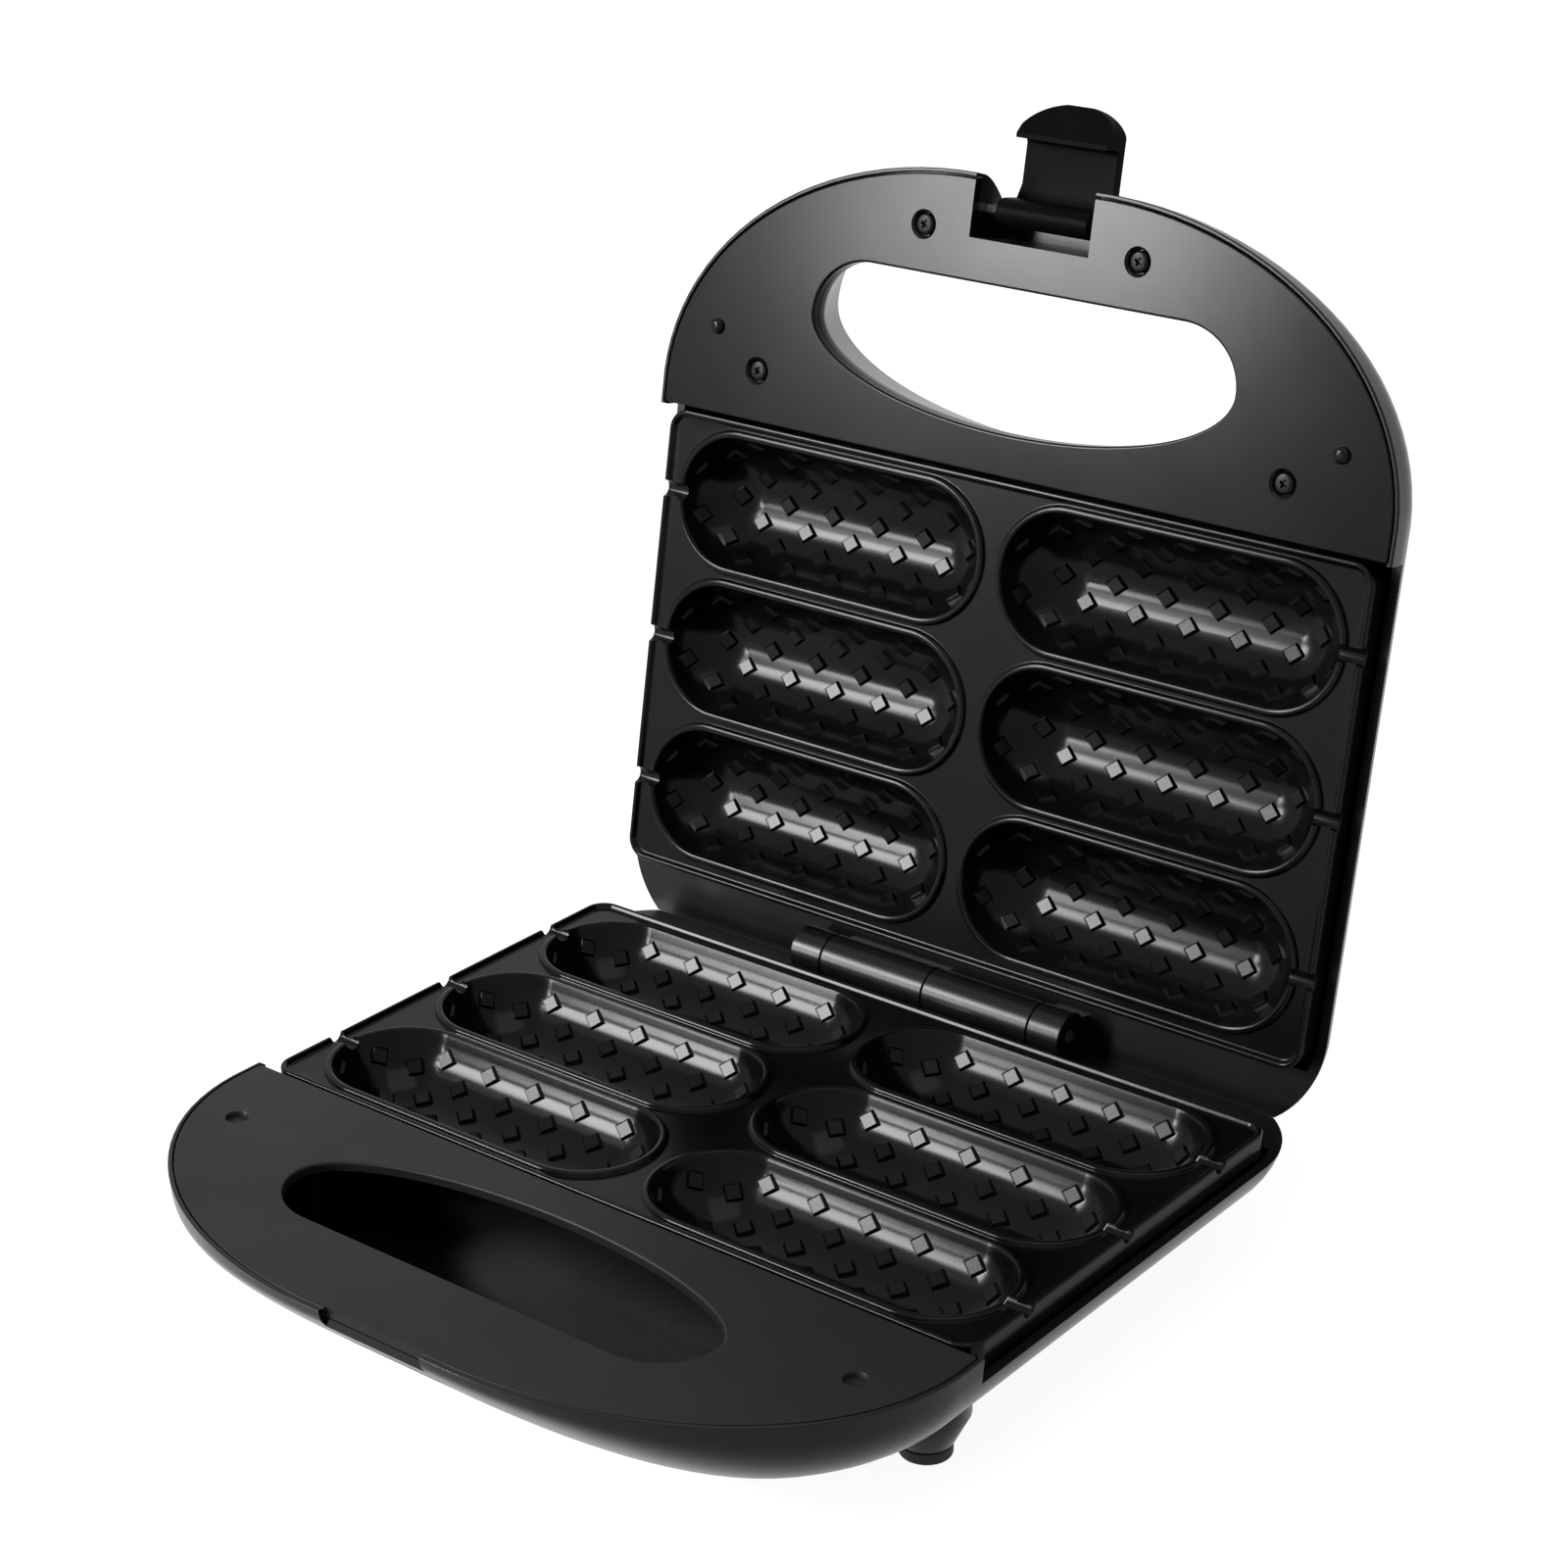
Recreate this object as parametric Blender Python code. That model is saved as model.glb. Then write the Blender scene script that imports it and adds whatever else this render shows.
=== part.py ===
"""Corn dog maker, standing open on its hinge.

Two plastic halves carry non-stick plates with six moulds each. Every half is
modelled lying on its back: u runs across it, v from the hinge axis to the
handle, and depth from the rim of its plate down into its shell. The lid is the
same half turned over about the hinge and swung open.
"""
import math

import bmesh
import bpy
from mathutils import Vector

# General clearances
CLEARANCE = 0.0003
OVERRUN = 0.0020
WALL = 0.0025
RIM_GAP = 0.0008
OPEN_ANGLE = math.radians(100.0)
SHARP_ANGLE = math.radians(35.0)

# Cooking plate
PLATE_WIDTH = 0.2200
PLATE_LENGTH = 0.1300
PLATE_REAR = 0.0095
PLATE_CORNER = 0.0060
PLATE_SKIRT = 0.0075
SHEET = 0.0025
FIELD_DEPTH = 0.0012
EDGE_BEAD = 0.0015
CAVITY_BEAD = 0.0020

# Moulds in the plate
CAVITY_DEPTH_SHARE = 5 / 6
CAVITY_SIDE_MARGIN = 0.0068
CAVITY_MIDDLE_MARGIN = 0.0040
ROW_END_MARGIN = 0.0235
ROW_RIB = 0.0055
ROW_SHIFT = 0.0007
STICK_RADIUS = 0.00225

# Bosses under the plate
CENTRE_BOSS_RADIUS = 0.0040
SIDE_BOSS_RADIUS = 0.0035
SIDE_BOSS_DEPTH = 0.0122

# Heater and what holds it
HEATER_RADIUS = 0.0030
HEATER_LEG_INWARD = 0.00225
HEATER_BEND_INWARD = 0.0014
HEATER_END_INSET = 0.0140
HEATER_PIN_RADIUS = 0.0013
HEATER_PIN_LENGTH = 0.0080
CLAMP_HALF_WIDTH = 0.0050
CLAMP_PAST_LEG = 0.0075
CLAMP_THICKNESS = 0.0010
REFLECTOR_SPACE = 0.0012
REFLECTOR_THICKNESS = 0.0008
REFLECTOR_SIDE_INSET = 0.0120
REFLECTOR_END_INSET = 0.0060
REFLECTOR_CORNER = 0.0080
FLOOR_SPACE = 0.0055

# Switches and terminals in the base
THERMOSTAT_CAP_RADIUS = 0.0080
THERMOSTAT_CAP_HEIGHT = 0.0028
THERMOSTAT_BODY_RADIUS = 0.0066
THERMOSTAT_BODY_HEIGHT = 0.0036
FUSE_RADIUS = 0.0020
FUSE_LENGTH = 0.0130
FUSE_TIP_RADIUS = 0.0007
FUSE_TIP_LENGTH = 0.0015
TERMINAL_PAST_REAR = 0.0185
TERMINAL_WIDTH = 0.0240
TERMINAL_LENGTH = 0.0100
TERMINAL_HEIGHT = 0.0042
TERMINAL_HOLE_RADIUS = 0.0012
TERMINAL_HOLE_PITCH = 0.0080

# Shell outline
PLATE_SIDE_GAP = 0.0015
SHELL_REAR = 0.0130
SHELL_REAR_CORNER = 0.0300
HANDLE_START = 0.0075
HANDLE_REACH = 0.0692
HANDLE_SHOULDER = 0.0200
BASE_HANDLE_RISE = 0.61
LID_HANDLE_RISE = 0.33
SHELL_DRAFT = 0.0003
SHELL_SIDE_DEPTH = 0.0040
SHELL_EDGE_RUN = 0.0385
CORNER_TIGHTEN_SHARE = 0.75
RIM_STEP = 0.0070
DECK_FRONT = 0.0085
BAY_WALL_GAP = 0.0010
BAY_WALL = 0.0020
POST_RADIUS = 0.0030
POST_INSET = 0.0065
CENTRE_POST_RADIUS = 0.0050

# Handle covers and their openings; only the lid is open right through
COVER_GAP = 0.0010
COVER_RIM = 0.0012
COVER_THICKNESS = 0.0025
OPENING_PLACE_SHARE = 0.0260 / 0.0692
OPENING_OUTER_SHARE = 0.0155 / 0.0692
OPENING_INNER_SHARE = 0.0215 / 0.0692
OPENING_SIDE_INSET = 0.0490
OPENING_CORNER = 0.0170
OPENING_WALL = 0.0022
FLARE_START = 0.0050
FLARE = 0.0120
FLARE_INNER_SHARE = 0.4
NUB_SIDE_INSET = 0.0175
NUB_PAST_COVER = 0.0235
NUB_RADIUS = 0.00225
NUB_HEIGHT = 0.0015
DENT_DEPTH = 0.0012

# Screws
FRONT_SCREW_OFFSET = 0.0327
FRONT_SCREW_INSET = 0.0153
SIDE_SCREW_INSET = 0.0323
SIDE_SCREW_PAST_COVER = 0.0137
SCREW_RADIUS = 0.0014
SCREW_HEAD_RADIUS = 0.0028
SCREW_HEAD_HEIGHT = 0.0016
SCREW_HEAD_CHAMFER = 0.0004
SCREW_SINK = 0.0003
SCREW_LENGTH = 0.0110
SCREW_SLOT_RADIUS = 0.0009
SCREW_SLOT_DEPTH = 0.0009
SCREW_PAD_RADIUS = 0.0045
SCREW_PAD_THICKNESS = 0.0040
LONG_BOSS_DEPTH = 0.0100
CENTRE_SCREW_TIP = 0.0080
CENTRE_HEAD_RADIUS = 0.0034
CENTRE_HEAD_HEIGHT = 0.0020
CENTRE_SINK_DEPTH = 0.0040
CAP_RADIUS = 0.0062
CAP_THICKNESS = 0.0012
CAP_CHAMFER = 0.0003

# Hinge
BARREL_RADIUS = 0.0065
BARREL_HALF_LENGTH = 0.0440
BARREL_SHORT = 0.0100
BARREL_WEB = 0.0045
PIN_RADIUS = 0.0020
DECK_BOSS_PAST_BARREL = 0.0070
DECK_BOSS_FORWARD = 0.0035
DECK_BOSS_RADIUS = 0.0040
DECK_BOSS_HOLE = 0.0022
DECK_BOSS_HEIGHT = 0.0012
HINGE_SWING_SPARE = math.radians(0.5)

# Latch
LATCH_WIDTH = 0.0280
LATCH_INSET = 0.0094
LATCH_PIVOT_DEPTH = 0.0077
LATCH_HUB_RADIUS = 0.0036
LATCH_BODY_OFFSET = 0.0074
LATCH_BODY = 0.0030
LATCH_TIP = 0.0012
LATCH_TAB = 0.0095
LATCH_CREST = 0.0015
LATCH_HOOK_REACH = 0.0056
LATCH_PIN_RADIUS = 0.0015
NOTCH_HALF_WIDTH = 0.0182
NOTCH_BACK = 0.0071
NOTCH_FLOOR = 0.0165
NOTCH_WALL = 0.0030
CATCH_HALF_WIDTH = 0.0155
CATCH_LIP_DEPTH = 0.0102
CATCH_POCKET_LENGTH = 0.0086
CATCH_WALL = 0.0020

# Feet
FOOT_HEIGHT = 0.0090
FOOT_PAD_RADIUS = 0.0064
FOOT_PAD_HEIGHT = 0.0030
FOOT_PAD_CHAMFER = 0.0006
FOOT_STEM_RADIUS = 0.0030
FOOT_STEM_HEIGHT = 0.0045
FOOT_TOP_RADIUS = 0.0105
FRONT_FOOT_SIDE_INSET = 0.0210
FRONT_FOOT_INSET = 0.0075
REAR_FOOT_SIDE_INSET = 0.0340
REAR_FOOT_PAST_PLATE = 0.0025

# Cord gland in the rear of the base
GLAND_SIDE_INSET = 0.0540
GLAND_DEPTH = 0.0205
GLAND_BORE = 0.0034
GLAND_RADIUS = 0.0050
GLAND_FLANGE_RADIUS = 0.0060
GLAND_FLANGE = 0.0012
GLAND_BOSS_RADIUS = 0.0070
GLAND_BOSS_REAR = 0.0105
GLAND_LENGTH = 0.0160

# Indicator lamps in the lid
LAMP_OFFSET = 0.0100
LAMP_INSET = 0.0105
LAMP_RADIUS = 0.0030
LAMP_DOME = 0.0010
LAMP_FLANGE_RADIUS = 0.0043
LAMP_FLANGE = 0.0010

# Facet counts
FRONT_STEPS = 24
CORNER_STEPS = 8
EDGE_STEPS = 5
CAVITY_END_STEPS = 8
CAVITY_RINGS = 4
UNDERSIDE_END_STEPS = 5
UNDERSIDE_RINGS = 3
PLATE_CORNER_STEPS = 3
OPENING_STEPS = 14
OPENING_CORNER_STEPS = 4
ROUND_STEPS = 16
SMALL_STEPS = 12
BARREL_STEPS = 16
BEND_STEPS = 10
DOME_STEPS = 3
HEATER_SIDES = 10
SKIN_HALVINGS = 30

# Sizes that follow from those above
PLATE_FRONT = PLATE_REAR + PLATE_LENGTH
PLATE_MIDDLE = PLATE_REAR + PLATE_LENGTH / 2
ROW_PITCH = PLATE_LENGTH / 2 - ROW_END_MARGIN
ROW_PLACES = [PLATE_MIDDLE + ROW_SHIFT + row * ROW_PITCH for row in (-1, 0, 1)]
MIDDLE_ROW = ROW_PLACES[1]
UNDERSIDE = FIELD_DEPTH + SHEET
CAVITY_HALF_WIDTH = (ROW_PITCH - ROW_RIB) / 2
CAVITY_DEPTH = CAVITY_DEPTH_SHARE * CAVITY_HALF_WIDTH
CAVITY_STRAIGHT = PLATE_WIDTH / 2 - CAVITY_SIDE_MARGIN - CAVITY_MIDDLE_MARGIN - 2 * CAVITY_HALF_WIDTH
COLUMN_OFFSET = (PLATE_WIDTH / 2 - CAVITY_SIDE_MARGIN + CAVITY_MIDDLE_MARGIN) / 2
CAVITY_ARC = (CAVITY_HALF_WIDTH ** 2 + CAVITY_DEPTH ** 2) / (2 * CAVITY_DEPTH)
CAVITY_ARC_RISE = CAVITY_ARC - CAVITY_DEPTH
CAVITY_END_PLACE = COLUMN_OFFSET + CAVITY_STRAIGHT / 2
HEATER_LEG_OFFSET = ROW_PITCH / 2 - HEATER_LEG_INWARD
HEATER_BEND_PLACE = CAVITY_END_PLACE - HEATER_BEND_INWARD
HEATER_LEG_END = PLATE_WIDTH / 2 - HEATER_END_INSET
HEATER_TO_END = HEATER_BEND_PLACE + HEATER_LEG_OFFSET - CAVITY_END_PLACE
HEATER_TO_ARC = CAVITY_ARC + SHEET + HEATER_RADIUS + CLEARANCE
HEATER_DEPTH = math.sqrt(HEATER_TO_ARC ** 2 - HEATER_TO_END ** 2) - CAVITY_ARC_RISE
CLAMP_TOP = HEATER_DEPTH + HEATER_RADIUS + CLEARANCE
CLAMP_BOTTOM = CLAMP_TOP + CLAMP_THICKNESS
CLAMP_HALF_LENGTH = HEATER_LEG_OFFSET + CLAMP_PAST_LEG
CENTRE_BOSS_DEPTH = CLAMP_TOP - CLEARANCE
THERMOSTAT_END = SIDE_BOSS_DEPTH + CLEARANCE + THERMOSTAT_CAP_HEIGHT + THERMOSTAT_BODY_HEIGHT
REFLECTOR_TOP = max(CLAMP_BOTTOM + REFLECTOR_SPACE, CAVITY_DEPTH + SHEET + REFLECTOR_SPACE,
                    THERMOSTAT_END + CLEARANCE / 2)
REFLECTOR_BOTTOM = REFLECTOR_TOP + REFLECTOR_THICKNESS
REFLECTOR_HALF_WIDTH = PLATE_WIDTH / 2 - REFLECTOR_SIDE_INSET
REFLECTOR_HALF_LENGTH = PLATE_LENGTH / 2 - REFLECTOR_END_INSET
FLOOR_DEPTH = REFLECTOR_BOTTOM + FLOOR_SPACE
SHELL_DEPTH = FLOOR_DEPTH + WALL
SHELL_EDGE_DROP = SHELL_DEPTH - SHELL_SIDE_DEPTH
SHELL_HALF_WIDTH = PLATE_WIDTH / 2 + PLATE_SIDE_GAP + WALL
HANDLE_CENTRE = PLATE_FRONT + HANDLE_START
SHELL_FRONT = HANDLE_CENTRE + HANDLE_REACH
COVER_REAR = PLATE_FRONT + COVER_GAP
COVER_UNDERSIDE = COVER_THICKNESS + CLEARANCE
SCREW_BORE = SCREW_RADIUS + CLEARANCE
SCREW_HEAD_BORE = SCREW_HEAD_RADIUS + CLEARANCE
PIN_BORE = PIN_RADIUS + CLEARANCE
LATCH_PIN_BORE = LATCH_PIN_RADIUS + CLEARANCE
OPENING_PLACE = HANDLE_CENTRE + OPENING_PLACE_SHARE * HANDLE_REACH
OPENING_OUTER = OPENING_OUTER_SHARE * HANDLE_REACH
OPENING_INNER = OPENING_INNER_SHARE * HANDLE_REACH
OPENING_HALF_LENGTH = SHELL_HALF_WIDTH - OPENING_SIDE_INSET
NUB_PLACE = (SHELL_HALF_WIDTH - NUB_SIDE_INSET, COVER_REAR + NUB_PAST_COVER)
COVER_SCREW_PLACES = ((FRONT_SCREW_OFFSET, SHELL_FRONT - FRONT_SCREW_INSET),
                      (SHELL_HALF_WIDTH - SIDE_SCREW_INSET, COVER_REAR + SIDE_SCREW_PAST_COVER))
DECK_BOSS_PLACE = (BARREL_HALF_LENGTH + DECK_BOSS_PAST_BARREL, DECK_BOSS_FORWARD)
FRONT_FOOT_PLACE = (SHELL_HALF_WIDTH - FRONT_FOOT_SIDE_INSET, PLATE_FRONT - FRONT_FOOT_INSET)
REAR_FOOT_PLACE = (SHELL_HALF_WIDTH - REAR_FOOT_SIDE_INSET, PLATE_REAR + REAR_FOOT_PAST_PLATE)
GLAND_PLACE = GLAND_SIDE_INSET - SHELL_HALF_WIDTH
TERMINAL_PLACE_U = GLAND_PLACE
TERMINAL_PLACE_V = PLATE_REAR + TERMINAL_PAST_REAR
LAMP_PLACE = PLATE_FRONT - LAMP_INSET
LATCH_PLACE = SHELL_FRONT - LATCH_INSET
NOTCH_REAR = LATCH_PLACE - NOTCH_BACK
CATCH_FRONT = LATCH_PLACE + LATCH_BODY_OFFSET - CLEARANCE
HINGE_HEIGHT = RIM_GAP / 2 + SHELL_DEPTH + FOOT_HEIGHT
SWING_SLOPE = math.tan(OPEN_ANGLE / 2 + HINGE_SWING_SPARE)


def place(u, v, depth):
    """A point of a half in that half's own frame, whose origin is the hinge axis."""
    return Vector((u, -v, -(RIM_GAP / 2 + depth)))


def arc(centre, radii, start, end, steps):
    """Points along an elliptic arc, both ends included."""
    points = []
    for step in range(steps + 1):
        angle = start + (end - start) * step / steps
        points.append((centre[0] + radii[0] * math.cos(angle), centre[1] + radii[1] * math.sin(angle)))
    return points


def material(name, colour, roughness, metallic=0.0):
    """A Principled material, made once and shared by name."""
    found = bpy.data.materials.get(name)
    if found:
        return found
    made = bpy.data.materials.new(name)
    made.use_nodes = True
    shader = made.node_tree.nodes["Principled BSDF"]
    shader.inputs["Base Color"].default_value = (*colour, 1.0)
    shader.inputs["Roughness"].default_value = roughness
    shader.inputs["Metallic"].default_value = metallic
    made.diffuse_color = (*colour, 1.0)
    return made


def shell_plastic():
    return material("black_shell_plastic", (0.035, 0.035, 0.038), 0.35)


def cover_plastic():
    return material("dark_grey_cover_plastic", (0.050, 0.050, 0.054), 0.45)


def plate_coating():
    return material("black_non_stick_coating", (0.030, 0.030, 0.032), 0.22)


def bare_steel():
    return material("bare_steel", (0.55, 0.55, 0.56), 0.30, 1.0)


def bright_aluminium():
    return material("bright_aluminium_sheet", (0.80, 0.80, 0.81), 0.25, 1.0)


def heater_steel():
    return material("heater_sheath_steel", (0.30, 0.29, 0.28), 0.45, 1.0)


def foot_rubber():
    return material("black_foot_rubber", (0.020, 0.020, 0.020), 0.80)


def ceramic_white():
    return material("white_ceramic", (0.85, 0.84, 0.80), 0.50)


def lamp_red():
    return material("red_lamp_lens", (0.60, 0.03, 0.02), 0.15)


def lamp_green():
    return material("green_lamp_lens", (0.04, 0.45, 0.08), 0.15)


def add_skin(bm, rings):
    """A closed solid over matching rings of points, flat at both ends."""
    loops = []
    for ring in rings:
        loops.append([bm.verts.new(point) for point in ring])
    count = len(loops[0])
    for near, far in zip(loops, loops[1:]):
        for index in range(count):
            after = (index + 1) % count
            bm.faces.new((near[index], near[after], far[after], far[index]))
    bm.faces.new(loops[0])
    bm.faces.new(loops[-1])


def add_prism(bm, outline, shallow, deep):
    """An outline in u and v, solid between two depths."""
    add_skin(bm, [[place(u, v, depth) for u, v in outline] for depth in (shallow, deep)])


def add_block(bm, half_u, rear, front, shallow, deep, middle=0.0):
    """A box between two places along v and two depths."""
    outline = [(middle - half_u, rear), (middle + half_u, rear), (middle + half_u, front),
               (middle - half_u, front)]
    add_prism(bm, outline, shallow, deep)


def add_round(bm, centre, stations, steps=ROUND_STEPS):
    """A round solid standing across a half, from (depth, radius) stations."""
    rings = []
    for depth, radius in stations:
        ring = arc(centre, (radius, radius), 0, 2 * math.pi, steps)[:-1]
        rings.append([place(u, v, depth) for u, v in ring])
    add_skin(bm, rings)


def add_pin(bm, centre, shallow, deep, radius, steps=SMALL_STEPS):
    """A plain cylinder standing across a half."""
    add_round(bm, centre, ((shallow, radius), (deep, radius)), steps)


def add_bar(bm, profile, start, end):
    """A profile of (y, z) points about the hinge axis, solid between two places along it."""
    add_skin(bm, [[Vector((x, y, z)) for y, z in profile] for x in (start, end)])


def new_bmesh():
    return bmesh.new()


def make_object(name, bm, surface, parent, origin=None):
    """A mesh object whose shapes face outwards, hung on its parent empty."""
    start = origin or Vector((0, 0, 0))
    bmesh.ops.recalc_face_normals(bm, faces=bm.faces)
    bmesh.ops.translate(bm, verts=bm.verts, vec=-start)
    mesh = bpy.data.meshes.new(name)
    bm.to_mesh(mesh)
    bm.free()
    mesh.shade_smooth()
    mesh.set_sharp_from_angle(angle=SHARP_ANGLE)
    if surface:
        mesh.materials.append(surface)
    made = bpy.data.objects.new(name, mesh)
    made.parent = parent
    made.location = start
    bpy.context.collection.objects.link(made)
    return made


def make_tool(name, bm, parent):
    """A shape that only cuts or joins, left out of the model itself."""
    tool = make_object(name, bm, None, parent)
    tool.hide_render = True
    tool.display_type = "WIRE"
    return tool


def combine(target, tool, operation):
    """A live Boolean of the target with the tool."""
    modifier = target.modifiers.new(tool.name, "BOOLEAN")
    modifier.operation = operation
    modifier.solver = "EXACT"
    modifier.object = tool


def cut(target, tool):
    combine(target, tool, "DIFFERENCE")


def join(target, tool):
    combine(target, tool, "UNION")


def make_empty(name, parent, location, rotation=(0, 0, 0)):
    empty = bpy.data.objects.new(name, None)
    empty.parent = parent
    empty.location = location
    empty.rotation_euler = rotation
    empty.empty_display_size = BARREL_HALF_LENGTH
    bpy.context.collection.objects.link(empty)
    return empty


def front_outline(inset):
    """The rounded front of the handle, straight in its middle."""
    radii = (SHELL_HALF_WIDTH - inset - HANDLE_SHOULDER, HANDLE_REACH - inset)
    steps = FRONT_STEPS // 2
    points = arc((HANDLE_SHOULDER, HANDLE_CENTRE), radii, 0, math.pi / 2, steps)
    return points + arc((-HANDLE_SHOULDER, HANDLE_CENTRE), radii, math.pi / 2, math.pi, steps)


def shell_outline(inset):
    """The shell seen from above, drawn in by an inset."""
    half = SHELL_HALF_WIDTH - inset
    corner = SHELL_REAR_CORNER * (1 - CORNER_TIGHTEN_SHARE * inset / SHELL_EDGE_RUN)
    rear = inset - SHELL_REAR + corner
    points = front_outline(inset)
    points += arc((corner - half, rear), (corner, corner), math.pi, 1.5 * math.pi, CORNER_STEPS)
    points += arc((half - corner, rear), (corner, corner), 1.5 * math.pi, 2 * math.pi, CORNER_STEPS)
    return points


def edge_stations(offset, top):
    """Inset and depth of the shell's skin, moved inwards by an offset."""
    stations = [(offset, top), (offset + SHELL_DRAFT, SHELL_SIDE_DEPTH)]
    for step in range(1, EDGE_STEPS + 1):
        angle = math.pi / 2 * step / EDGE_STEPS
        side = math.cos(angle) / SHELL_EDGE_RUN
        down = math.sin(angle) / SHELL_EDGE_DROP
        length = math.hypot(side, down)
        inset = SHELL_DRAFT + SHELL_EDGE_RUN * (1 - math.cos(angle)) + offset * side / length
        depth = SHELL_SIDE_DEPTH + SHELL_EDGE_DROP * math.sin(angle) - offset * down / length
        stations.append((inset, depth))
    return stations


def risen(v, depth, rise):
    """A depth of the skin, made less towards the front of the handle."""
    floor_front = SHELL_FRONT - SHELL_DRAFT - SHELL_EDGE_RUN
    share = max(v - floor_front, 0) / SHELL_EDGE_RUN
    return depth * (1 - rise * share ** 2)


def add_bowl(bm, offset, top, rise):
    """The outside or inside of a shell as a solid, shallower under the handle."""
    rings = []
    for inset, depth in edge_stations(offset, top):
        rings.append([place(u, v, risen(v, depth, rise)) for u, v in shell_outline(inset)])
    add_skin(bm, rings)


def cover_outline(inset, rear):
    """The front of the shell outline, closed straight across at its rear."""
    half = SHELL_HALF_WIDTH - inset
    return front_outline(inset) + [(-half, rear), (half, rear)]


def opening_outline(grow, inward):
    """The finger opening behind the handle, widened by grow, and by inward towards the plate."""
    corner = (OPENING_CORNER + grow, OPENING_OUTER + grow)
    reach = OPENING_HALF_LENGTH - OPENING_CORNER
    inner = (OPENING_HALF_LENGTH + grow, OPENING_INNER + inward)
    points = arc((reach, OPENING_PLACE), corner, 0, math.pi / 2, OPENING_CORNER_STEPS)
    points += arc((-reach, OPENING_PLACE), corner, math.pi / 2, math.pi, OPENING_CORNER_STEPS)
    points += arc((0, OPENING_PLACE), inner, math.pi, 2 * math.pi, OPENING_STEPS)[1:-1]
    return points


def add_flared_opening(bm, grow, top, bottom):
    """The opening as a solid, straight at first and then flaring towards the outside."""
    flare = FLARE * (bottom - FLARE_START) / (SHELL_DEPTH - FLARE_START)
    stations = ((top, 0), (FLARE_START, 0), (bottom, flare))
    rings = []
    for depth, more in stations:
        outline = opening_outline(grow + more, grow + FLARE_INNER_SHARE * more)
        rings.append([place(u, v, depth) for u, v in outline])
    add_skin(bm, rings)


def rounded_rectangle(half_u, rear, front, radius):
    across = half_u - radius
    near, far = rear + radius, front - radius
    centres = ((across, far), (-across, far), (-across, near), (across, near))
    points = []
    for quarter, centre in enumerate(centres):
        start = quarter * math.pi / 2
        points += arc(centre, (radius, radius), start, start + math.pi / 2, PLATE_CORNER_STEPS)
    return points


def stadium(column, row, radius, steps=CAVITY_END_STEPS):
    """A mould's outline: two straight sides and two round ends."""
    half = CAVITY_STRAIGHT / 2
    points = arc((column + half, row), (radius, radius), -math.pi / 2, math.pi / 2, steps)
    points += arc((column - half, row), (radius, radius), math.pi / 2, 1.5 * math.pi, steps)
    return points


def cavity_centres():
    return [(side * COLUMN_OFFSET, row) for side in (-1, 1) for row in ROW_PLACES]


def add_trough(bm, centre, radius, top, ring_count, steps):
    """A mould as a solid: a lying arc of the given radius, round at both ends."""
    rim_angle = math.acos((CAVITY_ARC_RISE + max(top, 0)) / radius)
    rings = []
    if top < 0:
        width = radius * math.sin(rim_angle)
        rings.append([place(u, v, top) for u, v in stadium(*centre, width, steps)])
    for ring in range(ring_count):
        angle = rim_angle * (1 - ring / (ring_count - 0.5))
        depth = radius * math.cos(angle) - CAVITY_ARC_RISE
        width = radius * math.sin(angle)
        rings.append([place(u, v, depth) for u, v in stadium(*centre, width, steps)])
    add_skin(bm, rings)


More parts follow.
